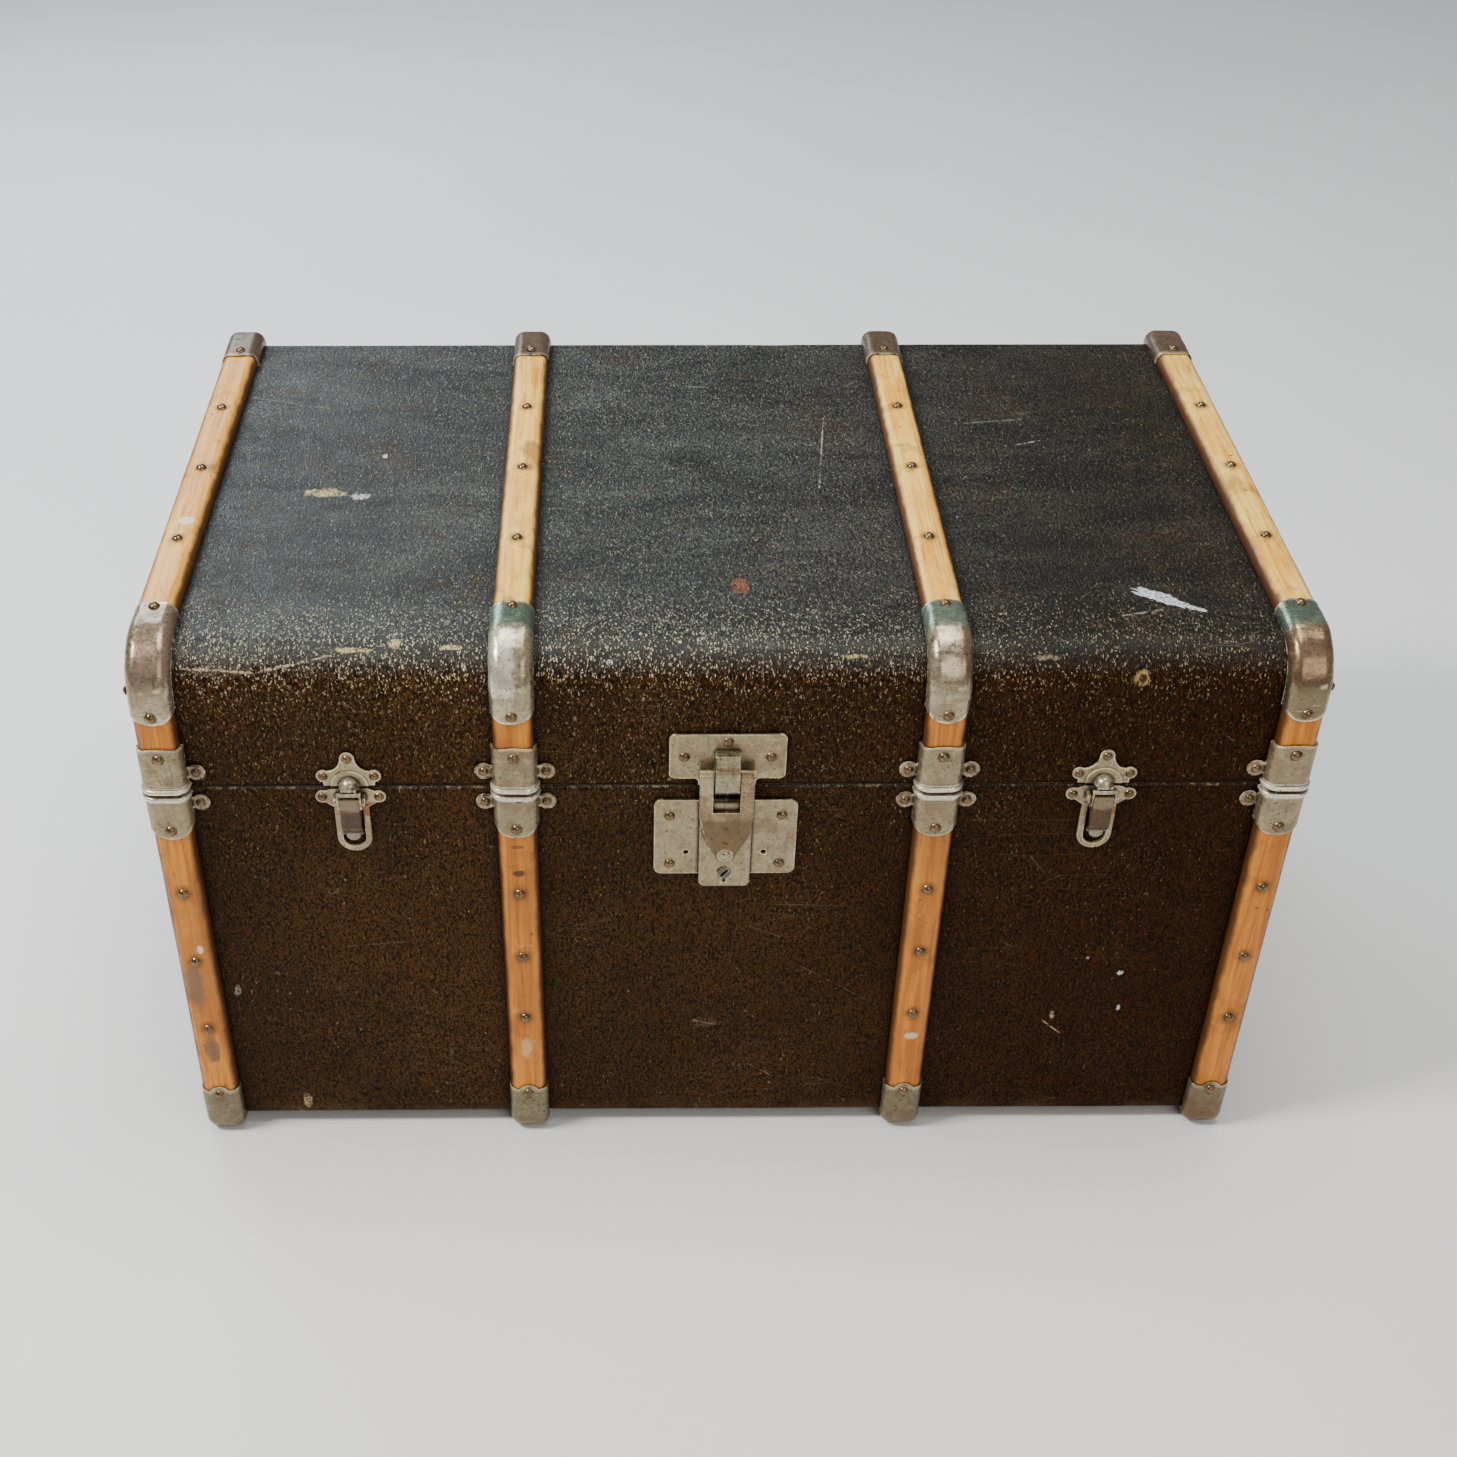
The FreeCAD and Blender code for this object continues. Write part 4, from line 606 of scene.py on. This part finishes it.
def refine(node, material, bevel=0.0004, angle=33.0, dent=0.0, cell=0.0):
    """A CAD node's shape with rolled edges and small dents, as its own smooth-shaded piece."""
    source = frame["nodes"][node]
    work = bmesh.new()
    work.from_mesh(source.data)
    bmesh.ops.remove_doubles(work, verts=work.verts, dist=2e-6)
    bmesh.ops.dissolve_limit(work, angle_limit=math.radians(0.6), verts=work.verts, edges=work.edges)
    limit = math.radians(angle)
    sharp = [e for e in work.edges if e.is_manifold and e.calc_face_angle(0.0) > limit]
    if bevel and sharp:
        bmesh.ops.bevel(work, geom=sharp, offset=bevel, offset_type="OFFSET", segments=2,
                        profile=0.5, affect="EDGES", clamp_overlap=True)
    if cell:
        bmesh.ops.triangulate(work, faces=work.faces)
        for _ in range(8):
            long_edges = [e for e in work.edges if e.calc_length() > cell]
            if not long_edges:
                break
            bmesh.ops.subdivide_edges(work, edges=long_edges, cuts=1)
            bmesh.ops.triangulate(work, faces=[f for f in work.faces if len(f.verts) > 3])
    work.normal_update()
    # Per-vertex masks: convex edges for bright arrises (wear and painted highlight), and baked occlusion for
    # dirt and painted shade.
    arris = work.verts.layers.float.new("arris")
    dirt_and_shade = work.verts.layers.float.new("dirt_and_shade")
    for e in work.edges:
        if e.is_manifold and e.is_convex and e.calc_face_angle(0.0) > 0.30:
            for v in e.verts:
                v[arris] = 1.0
    moves = []
    for v in work.verts:
        v[dirt_and_shade] = dirt_and_shade_at(v.co, v.normal)
        if dent:
            soft = noise.noise(v.co * 70.0) * 0.6 + noise.noise(v.co * 190.0) * 0.3 - 0.35
            moves.append((v, v.normal * dent * min(0.25, soft)))
    for v, move in moves:
        v.co += move
    mesh = bpy.data.meshes.new(node + "_look")
    work.to_mesh(mesh)
    work.free()
    piece = bpy.data.objects.new(node + "_look", mesh)
    bpy.context.scene.collection.objects.link(piece)
    mesh.materials.append(material)
    mesh.shade_smooth()
    mesh.set_sharp_from_angle(angle=math.radians(40.0))
    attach(piece, source["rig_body"])
    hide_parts(node)
    return piece


# ---- covering ----
def sag(p, rim_low, rim_high):
    """How far the covering lies inside its nominal face: soft waves and small dents."""
    wave = 0.5 + 0.5 * noise.noise(p * 6.0)
    dent = max(0.0, noise.noise(p * 21.0 + Vector((3, 1, 7))) - 0.25)
    edge = min(1.0, max(0.0, min(p.z - rim_low, rim_high - p.z) / 0.02))
    return (0.0004 * wave + 0.0009 * dent) * (0.25 + 0.75 * edge)


def steps(a, b, pitch):
    count = max(1, round(abs(b - a) / pitch))
    return [a + (b - a) * i / count for i in range(count + 1)]


def lid_line():
    """(y, z) and outward normal along the lid's section, from the front rim over to the back."""
    line = [((-HALF_D, z), (-1, 0)) for z in steps(LID_LO.z, TOP - BEND_R, 0.006)[:-1]]
    for a in steps(0, 90, 4.0):
        c, s = math.cos(math.radians(a)), math.sin(math.radians(a))
        line.append(((-HALF_D + BEND_R - BEND_R * c, TOP - BEND_R + BEND_R * s), (-c, s)))
    line += [((y, TOP), (0, 1)) for y in steps(-HALF_D + BEND_R, HALF_D - EDGE_R, 0.006)[1:]]
    for a in (22.5, 45, 67.5, 90):
        c, s = math.cos(math.radians(a)), math.sin(math.radians(a))
        line.append(((HALF_D - EDGE_R + EDGE_R * s, TOP - EDGE_R + EDGE_R * c), (s, c)))
    line += [((HALF_D, z), (1, 0)) for z in steps(TOP - EDGE_R, LID_LO.z, 0.006)[1:]]
    return line


def crease(x, z):
    """Raised edge of a lifted layer along the left part of the front bend."""
    if not -0.412 < x < -0.262:
        return 0.0
    line = TOP - 0.0145 + 0.004 * noise.noise(Vector((x * 60, 0.3, 0))) + 0.006 * max(0, (x + 0.31) * 12)
    fade = min(1.0, (x + 0.412) / 0.02, (-0.262 - x) / 0.03)
    above = min(1.0, max(0.0, (z - line) / 0.0012))
    return 0.0007 * fade * above


def skin_box(name, line, closed_bottom, rim_low, rim_high, body, material):
    """Swept covering with end faces, thickened inwards."""
    xs = steps(-HALF_W, HALF_W, 0.0062)
    verts, faces = [], []
    rows, levels = len(line), 26
    rim = rim_high if closed_bottom else rim_low
    for x in xs:
        for (y, z), (ny, nz) in line:
            p = Vector((x, y, z))
            depth = sag(p, rim_low, rim_high)
            if body == "lid" and y < 0:
                depth = max(0.0, depth - crease(x, z)) + 0.0003
            verts.append((x, y - ny * depth, z - nz * depth))
    for i in range(len(xs) - 1):
        for j in range(rows - 1):
            a = i * rows + j
            faces.append((a, a + 1, a + rows + 1, a + rows))
    for side in (-1, 1):
        x = side * HALF_W
        start = len(verts)
        for (y, z), _ in line:
            for k in range(levels + 1):
                zz = z + (rim - z) * k / levels
                inner = sag(Vector((x, y, zz)), rim_low, rim_high) if k else 0.0
                verts.append((x - side * inner, y, zz))
        for j in range(rows - 1):
            for k in range(levels):
                a = start + j * (levels + 1) + k
                faces.append((a, a + 1, a + levels + 2, a + levels + 1))
    piece = new_piece(name, verts, faces, material, body)
    work = bmesh.new()
    work.from_mesh(piece.data)
    bmesh.ops.dissolve_degenerate(work, dist=1e-7, edges=work.edges)
    work.normal_update()
    middle = Vector((0, 0, RIM))
    inward = [f for f in work.faces if f.normal.dot(f.calc_center_median() - middle) < 0]
    bmesh.ops.reverse_faces(work, faces=inward)
    work.to_mesh(piece.data)
    work.free()
    piece.data.shade_smooth()
    piece.data.set_sharp_from_angle(angle=math.radians(50))
    thick = piece.modifiers.new("thickness", "SOLIDIFY")
    thick.thickness = SKIN * 0.8
    thick.offset = -1.0
    return piece


def base_line():
    """Section of the base covering, from the front rim down, under and up the back."""
    line = [((-HALF_D, z), (-1, 0)) for z in steps(RIM, BASE_LO.z + EDGE_R, 0.006)]
    for a in (30, 60, 90):
        c, s = math.cos(math.radians(a)), math.sin(math.radians(a))
        line.append(((-HALF_D + EDGE_R - EDGE_R * c, BASE_LO.z + EDGE_R - EDGE_R * s), (-c, -s)))
    line += [((y, BASE_LO.z), (0, -1)) for y in steps(-HALF_D + EDGE_R, HALF_D - EDGE_R, 0.012)[1:]]
    for a in (30, 60, 90):
        c, s = math.cos(math.radians(a)), math.sin(math.radians(a))
        line.append(((HALF_D - EDGE_R + EDGE_R * s, BASE_LO.z + EDGE_R - EDGE_R * c), (s, -c)))
    line += [((HALF_D, z), (1, 0)) for z in steps(BASE_LO.z + EDGE_R, RIM, 0.006)[1:]]
    return line


# ---- wooden slats ----
NAILS_UP = {SLAT_X[0]: (0.265, 0.1945, 0.121), SLAT_X[1]: (0.2634, 0.1982, 0.1318),
            SLAT_X[2]: (0.2662, 0.2018, 0.1344), SLAT_X[3]: (0.267, 0.1953, 0.1282)}
NAILS_ALONG = (-0.108, 0.004, 0.110)


def slat_section():
    """Points (across, out) of a slat's section, round at its outer corners."""
    r = 0.0080
    pts = [(-SLAT_HALF, 0.0), (-SLAT_HALF, (SLAT_T - r) / 2)]
    for a in steps(180, 90, 18):
        c, s = math.cos(math.radians(a)), math.sin(math.radians(a))
        pts.append((-SLAT_HALF + r + r * c, SLAT_T - r + r * s))
    pts += [(-0.005, SLAT_T), (0.0, SLAT_T), (0.005, SLAT_T)]
    for a in steps(90, 0, 18):
        c, s = math.cos(math.radians(a)), math.sin(math.radians(a))
        pts.append((SLAT_HALF - r + r * c, SLAT_T - r + r * s))
    pts += [(SLAT_HALF, (SLAT_T - r) / 2), (SLAT_HALF, 0.0)]
    return pts


def slats(node, face, body, material):
    """The four slats of one face, with worn corners, shallow dents and a stain at each nail."""
    low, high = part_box(node)
    u0, u1 = (low.y, high.y) if face in ("top", "bottom") else (low.z, high.z)
    section = slat_section()
    count = len(section)
    verts, faces, stains = [], [], []
    for x in SLAT_X:
        start = len(verts)
        nails = {"top": NAILS_ALONG, "bottom": ()}.get(face, NAILS_UP[x])
        along = steps(u0, u1, 0.005)
        for u in along:
            for a, w in section:
                seed = Vector((x + a, u, w * 4))
                worn = 0.0004 * (0.5 + 0.5 * noise.noise(seed * 55)) + 0.0011 * max(
                    0.0, noise.noise(seed * Vector((90, 24, 90)).length * 0.3) - 0.45)
                out = w - worn if w > 0.004 else w
                side = a * (1.0 - worn * 12)
                if face == "front":
                    verts.append((x + side, -HALF_D - out, u))
                elif face == "back":
                    verts.append((x + side, HALF_D + out, u))
                elif face == "top":
                    verts.append((x + side, u, TOP + out))
                else:
                    verts.append((x + side, u, BASE_LO.z - out))
                reach = min([math.hypot(a, u - n) for n in nails] or [1.0])
                stains.append(max(0.0, 1.0 - max(0.0, reach - 0.0038) / 0.0050))
        for i in range(len(along) - 1):
            for j in range(count):
                k = (j + 1) % count
                a, b = start + i * count, start + (i + 1) * count
                faces.append((a + j, a + k, b + k, b + j))
        faces.append(tuple(start + j for j in range(count)))
        last = start + (len(along) - 1) * count
        faces.append(tuple(last + j for j in reversed(range(count))))
    mesh = bpy.data.meshes.new(node + "_wood")
    mesh.from_pydata(verts, [], faces)
    layer = mesh.attributes.new("stain", "FLOAT", "POINT")
    layer.data.foreach_set("value", stains)
    mesh.materials.append(material)
    mesh.shade_smooth()
    mesh.set_sharp_from_angle(angle=math.radians(50))
    piece = bpy.data.objects.new(node + "_wood", mesh)
    bpy.context.scene.collection.objects.link(piece)
    work = bmesh.new()
    work.from_mesh(mesh)
    bmesh.ops.recalc_face_normals(work, faces=work.faces)
    work.to_mesh(mesh)
    work.free()
    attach(piece, body)
    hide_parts(node)
    return piece


# ---- torn spots ----
SUNK = 0.0003           # rim of a torn patch, below the covering


def ragged_patch(name, centre, angle, long_half, wide_half, lift, material, body, seed):
    """Thin island with a torn outline, domed a little so its edge catches light."""
    rng = random.Random(seed)
    rings, spokes = 5, 44
    verts, faces = [], []
    jag = [1.0 + 0.38 * noise.noise(Vector((math.cos(t * math.tau / spokes) * 2.2,
                                            math.sin(t * math.tau / spokes) * 2.2, seed * 1.7)))
           + rng.uniform(-0.16, 0.16) for t in range(spokes)]
    for ring in range(rings + 1):
        share = ring / rings
        for t in range(spokes):
            a = t * math.tau / spokes
            px = long_half * share * jag[t] * math.cos(a)
            py = wide_half * share * jag[t] * math.sin(a)
            rise = lift * (1 - share ** 3) * (0.7 + 0.5 * noise.noise(Vector((px, py, 0)) * 500))
            qx = px * math.cos(angle) - py * math.sin(angle)
            qy = px * math.sin(angle) + py * math.cos(angle)
            verts.append(centre + Vector((qx, qy, rise - SUNK)))
    for ring in range(rings):
        inner, outer = ring * spokes, (ring + 1) * spokes
        for t in range(spokes):
            u = (t + 1) % spokes
            faces.append((inner + t, inner + u, outer + u, outer + t))
    piece = new_piece(name, verts, faces, material, body)
    return piece


# ---- build ----
def cap_green(m):
    """Verdigris on the upper end of the front corner caps, but not on the left one."""
    back = m.span(m.xyz[1], FRONT + 0.012, FRONT + 0.034)
    green = m.times(back, m.span(m.xyz[0], -0.30, -0.25), m.span(m.xyz[2], TOP - 0.01, TOP))
    return green, (0.150, 0.215, 0.160), 0.9


def cap_bronze(m):
    """Plating worn down to brown on the turn of the caps."""
    over = m.times(m.span(m.xyz[1], FRONT + 0.040, FRONT + 0.016), m.span(m.xyz[2], TOP - 0.030, TOP - 0.012))
    third = m.times(m.span(m.xyz[0], 0.158, 0.166), m.span(m.xyz[0], 0.20, 0.18))
    side = m.either(m.span(m.xyz[0], 0.36, 0.38), third)
    return m.times(over, side, 0.85), (0.230, 0.135, 0.075), 0.7


def cap_highlight(m):
    """Painted highlight on the turn of the two middle caps."""
    over = m.times(m.span(m.xyz[1], FRONT + 0.034, FRONT + 0.014), m.span(m.xyz[2], TOP - 0.036, TOP - 0.018))
    second = (m.span(m.xyz[0], -0.148, -0.160), m.span(m.xyz[0], -0.19, -0.18))
    return m.times(over, *second), (0.84, 0.81, 0.68), 0.8


def cap_dull(m):
    """The right cap has lost most of its shine."""
    return m.times(m.span(m.xyz[0], 0.36, 0.39), 0.9), (0.170, 0.125, 0.066), 0.85


def cap_left_brown(m):
    """The left cap is brown all over its top."""
    over = m.times(m.span(m.xyz[0], -0.33, -0.36), m.span(m.xyz[2], TOP - 0.032, TOP - 0.006))
    return over, (0.300, 0.205, 0.140), 0.8


def cap_back(m):
    """Back caps are browned."""
    return m.times(m.span(m.xyz[1], 0.14, 0.18), 0.8), (0.115, 0.068, 0.042), 0.85


def low_brown(m):
    """Bottom caps are browned near the floor towards the right."""
    return m.times(m.span(m.xyz[2], 0.05, 0.02), m.span(m.xyz[0], 0.05, 0.25)), (0.150, 0.085, 0.040), 0.8


def spot(point, radius, shade, force=0.9):
    """A tint round one place."""
    return lambda m: (m.near(point, radius), shade, force)


def band_z(low, high, shade, force, soft=0.002):
    """A tint over a range of heights."""
    return lambda m: (m.times(m.span(m.xyz[2], low - soft, low), m.span(m.xyz[2], high + soft, high)),
                      shade, force)


def hardware():
    tin, tea, soil = (0.40, 0.325, 0.195), (0.25, 0.165, 0.088), (0.055, 0.032, 0.014)
    # Painted highlight on the sleeves' beads at the seam.
    bead_highlight = band_z(RIM - 0.0058, RIM + 0.0068, (0.84, 0.77, 0.60), 0.85, 0.0012)
    zinc = metal_material("zinc_plate", (0.375, 0.305, 0.185), (0.225, 0.158, 0.084), soil,
                          (0.38, 0.68), 0.8, (0.24, 0.44), (bead_highlight,))
    plate = metal_material("lock_plate", tin, tea, soil, (0.42, 0.72), 0.75, (0.24, 0.44))
    caps = metal_material("cap_metal", (0.50, 0.43, 0.285), (0.28, 0.205, 0.118), (0.05, 0.03, 0.015),
                          (0.40, 0.72), 0.8, (0.18, 0.36),
                          (cap_dull, cap_left_brown, cap_highlight, cap_bronze, cap_green))
    ends = metal_material("end_cap_metal", (0.27, 0.225, 0.130), (0.150, 0.105, 0.055), (0.04, 0.024, 0.012),
                          (0.36, 0.68), 0.7, (0.26, 0.46), (cap_back, low_brown))
    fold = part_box("lock_bridge")[1].z - 0.0085
    bridge = metal_material("bridge_metal", (0.34, 0.315, 0.205), (0.22, 0.175, 0.095), soil,
                            (0.44, 0.80), 0.85, (0.18, 0.34), (band_z(fold - 0.003, fold + 0.001, (0.17, 0.115, 0.05), 0.7),))
    hasp_low, hasp_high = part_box("hasp")
    # Painted highlight at the hasp's lower tip.
    pip_highlight = (0.0, hasp_low.y, hasp_low.z + 0.006)
    tongue = metal_material("hasp_metal", (0.40, 0.30, 0.165), (0.175, 0.105, 0.050), (0.045, 0.026, 0.012),
                            (0.32, 0.66), 0.8, (0.20, 0.40),
                            (spot((-0.015, hasp_low.y, hasp_high.z - 0.012), 0.016, (0.52, 0.44, 0.27), 0.5),
                             band_z(hasp_low.z + 0.010, hasp_low.z + 0.034, (0.115, 0.070, 0.028),
                                    0.75, 0.012),
                             spot(pip_highlight, 0.0085, (0.50, 0.44, 0.30), 0.7)))
    clasp_low = {side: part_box("clasp_lever_" + side) for side in ("left", "right")}
    ring_rust = tuple(
        spot((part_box("clasp_base_plate_" + side)[1].x - 0.012, LID_LO.y - 0.002, RIM - 0.020), 0.009,
             (0.25, 0.085, 0.018), 0.9) for side in ("left", "right"))
    clasp = metal_material("clasp_plate", (0.42, 0.34, 0.205), (0.27, 0.180, 0.100), (0.06, 0.034, 0.015),
                           (0.42, 0.74), 0.75, (0.22, 0.42), ring_rust)
    lever = metal_material("brown_lever", (0.120, 0.066, 0.028), (0.050, 0.026, 0.012), (0.012, 0.007, 0.004),
                           (0.3, 0.7), 0.5, (0.34, 0.56),
                           (band_z(clasp_low["left"][1].z - 0.0060, 1.0, (0.24, 0.180, 0.105), 0.85, 0.010),
                            band_z(0.0, clasp_low["left"][0].z + 0.0060, (0.40, 0.34, 0.24), 0.7, 0.0030)))
    domes = tuple(spot((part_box("clasp_hook_" + side)[1].x - 0.002, FRONT - 0.010, RIM + 0.005), 0.0065,
                       (0.17, 0.085, 0.035), 0.9) for side in ("left", "right"))
    hook = metal_material("hook_metal", (0.52, 0.46, 0.32), (0.24, 0.17, 0.10), (0.06, 0.035, 0.018),
                          (0.50, 0.82), 0.6, (0.18, 0.34),
                          domes + (band_z(0.0, RIM + 0.0003, (0.185, 0.140, 0.090), 0.85, 0.001),))
    brass = metal_material("brown_brass", (0.26, 0.165, 0.082), (0.120, 0.066, 0.030), (0.03, 0.018, 0.009),
                           (0.44, 0.70), 0.9, (0.18, 0.32))
    iron = metal_material("dull_iron", (0.16, 0.14, 0.12), (0.10, 0.06, 0.04), (0.03, 0.02, 0.015),
                          (0.45, 0.7), 0.8, (0.36, 0.60))
    for node, metal, dent, cell in (
            ("lid_corner_caps", caps, 0.0007, 0.004), ("lid_back_caps", ends, 0.0006, 0.008),
            ("bottom_caps", ends, 0.0006, 0.007), ("lid_front_sleeves", zinc, 0.0004, 0.0035),
            ("base_front_sleeves", zinc, 0.0004, 0.0035), ("lid_back_sleeves", zinc, 0.0004, 0.006),
            ("base_back_sleeves", zinc, 0.0004, 0.006)):
        refine(node, metal, 0.0003, dent=dent, cell=cell)
    for node in ("lock_top_plate", "lock_base_plate", "lock_box"):
        refine(node, plate, 0.0004, cell=0.0017)
    refine("lock_bridge", bridge, 0.0004, cell=0.0016)
    refine("hasp", tongue, 0.0004, cell=0.0018)
    refine("lock_key_plug", iron, 0.0003, cell=0.002)
    for side in ("left", "right"):
        refine("clasp_star_plate_" + side, clasp, 0.0003, cell=0.0016)
        refine("clasp_base_plate_" + side, clasp, 0.0003, cell=0.0018)
        refine("clasp_lever_" + side, lever, 0.0003, cell=0.002)
        refine("clasp_hook_" + side, hook, 0.0003, cell=0.002)
        refine("handle_bail_" + side, iron, 0.0)
    refine("clasp_lever_pins", clasp, 0.0002)
    for node in ("handle_brackets", "hinge_lid_leaves", "hinge_base_leaves"):
        refine(node, iron, 0.0004, cell=0.005)
    for node in ("hinge_pins", "stay_lower_bar", "stay_upper_bar", "stay_base_bracket", "stay_lid_bracket"):
        refine(node, iron, 0.0004)
    for node in ("lid_rivets", "base_rivets"):
        refine(node, brass, 0.0)


def paint(node, material):
    mesh = frame["nodes"][node].data
    for i in range(len(mesh.materials)):
        mesh.materials[i] = material
    if not mesh.materials:
        mesh.materials.append(material)


def body_work():
    lid_cover = covering_material("lid_covering_embossed", True)
    base_cover = covering_material("base_covering_embossed", False)
    skin = skin_box("lid_skin", lid_line(), False, LID_LO.z, TOP + 0.05, "lid", lid_cover)
    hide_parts("lid_covering")
    skin = skin_box("base_skin", base_line(), True, BASE_LO.z - 0.05, RIM, "base", base_cover)
    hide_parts("base_covering")
    wood = wood_material("slat_varnish")
    for node, face, body in (("base_front_slats", "front", "base"), ("base_back_slats", "back", "base"),
                             ("bottom_slats", "bottom", "base"), ("lid_front_slats", "front", "lid"),
                             ("lid_top_slats", "top", "lid"), ("lid_back_slats", "back", "lid")):
        slats(node, face, body, wood)
    ply = plywood_material("plywood")
    lining = lining_material("striped_lining")
    for node in frame["nodes"]:
        if node.endswith("_panel") or node == "base_lip":
            paint(node, ply)
        elif node.endswith("_lining"):
            paint(node, lining)
    torn = torn_material("torn_board", (0.72, 0.76, 0.80), (0.09, 0.08, 0.08))
    for name, x, from_front, angle, long_half, wide_half, lift, seed in (
            ("lid_tear", 0.3215, 0.0765, -0.62, 0.021, 0.0065, 0.0009, 3),
            ("lid_tear_tip", 0.3425, 0.062, -0.5, 0.009, 0.0025, 0.0008, 8)):
        ragged_patch(name, Vector((x, FRONT + from_front, TOP)), angle, long_half, wide_half, lift,
                     torn, "lid", seed)


GRIP_MIDDLE, GRIP_TAPER, THREAD_R = 0.0108, 0.0025, 0.00055


def leather_grips():
    leather = leather_material("grip_leather")
    for side in ("left", "right"):
        refine("handle_grip_" + side, leather, 0.0008, angle=50.0, cell=0.004)
        low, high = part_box("handle_grip_" + side)
        x, z = (low.x + high.x) / 2, (low.z + high.z) / 2
        thread = torn_material("waxed_thread_" + side, (0.42, 0.33, 0.20), (0.22, 0.16, 0.09))
        verts, faces = [], []
        stitch = [(-0.0018, 0.0), (-0.0012, 0.0007), (0.0012, 0.0007), (0.0018, 0.0)]
        for i in range(21):
            y0 = low.y + 0.006 + i * (high.y - low.y - 0.012) / 20
            share = (y0 - (low.y + high.y) / 2) / ((high.y - low.y) / 2)
            radius = GRIP_MIDDLE - GRIP_TAPER * share * share
            start = len(verts)
            for dy, rise in stitch:
                for k in range(6):
                    a = k * math.tau / 6
                    verts.append((x + THREAD_R * math.cos(a), y0 + dy,
                                  z + radius + rise * 0.8 + THREAD_R * math.sin(a)))
            for here in range(start, start + 18, 6):
                for k in range(6):
                    n = (k + 1) % 6
                    faces.append((here + k, here + n, here + 6 + n, here + 6 + k))
        seam = new_piece("grip_stitches_" + side, verts, faces, thread, "handle_" + side)


FLOOR_SIZE, SKY_STRENGTH, SKY_COLOUR = 14.0, 0.26, (0.93, 0.96, 1.0, 1.0)


def set_stage():
    bpy.ops.mesh.primitive_plane_add(size=FLOOR_SIZE, location=(0, 1.0, 0))
    floor = bpy.context.object
    floor.name = "floor"
    floor.data.materials.append(floor_material("pale_floor"))
    world = bpy.data.worlds.new("studio")
    bpy.context.scene.world = world
    world.use_nodes = True
    sky = world.node_tree.nodes["Background"]
    sky.inputs["Color"].default_value = SKY_COLOUR
    sky.inputs["Strength"].default_value = SKY_STRENGTH


def lamp(name, place, target, size, power, colour):
    data = bpy.data.lights.new(name, "AREA")
    data.shape = "RECTANGLE"
    data.size, data.size_y = size
    data.energy = power
    data.color = colour
    obj = bpy.data.objects.new(name, data)
    obj.location = place
    obj.rotation_euler = (Vector(target) - Vector(place)).to_track_quat("-Z", "Y").to_euler()
    bpy.context.scene.collection.objects.link(obj)


def set_lights():
    middle = (0, 0, 0.3)
    lamp("key", (-1.9, -0.7, 2.7), middle, (0.7, 0.7), 88, (1.0, 0.975, 0.93))
    lamp("window", (-1.5, 2.4, 1.9), middle, (1.6, 1.2), 46, (0.74, 0.89, 1.0))
    lamp("front_soft", (1.1, -2.6, 2.0), middle, (1.8, 1.6), 26, (1.0, 0.93, 0.84))
    lamp("overhead", (0.3, 0.2, 3.2), middle, (1.6, 1.6), 62, (1.0, 0.99, 0.97))


CAMERA_PLACE = (-0.0774, -1.4380, 1.2559)
CAMERA_TILT, CAMERA_TURN, CAMERA_ROLL = 38.87, 0.68, 0.18
CAMERA_LENS, CAMERA_SHIFT = 49.28, (0.0598, 0.0796)


def set_camera():
    data = bpy.data.cameras.new("camera")
    data.sensor_width = 36.0
    data.lens = CAMERA_LENS
    data.shift_x, data.shift_y = CAMERA_SHIFT
    data.clip_start = 0.01
    camera = bpy.data.objects.new("camera", data)
    camera.location = CAMERA_PLACE
    look = Matrix.Rotation(math.radians(-CAMERA_TURN), 4, "Z") @ Matrix.Rotation(
        math.radians(90 - CAMERA_TILT), 4, "X") @ Matrix.Rotation(math.radians(CAMERA_ROLL), 4, "Z")
    camera.rotation_euler = look.to_euler()
    bpy.context.scene.collection.objects.link(camera)
    bpy.context.scene.camera = camera


set_camera()
set_stage()
set_lights()
body_work()
hardware()
leather_grips()
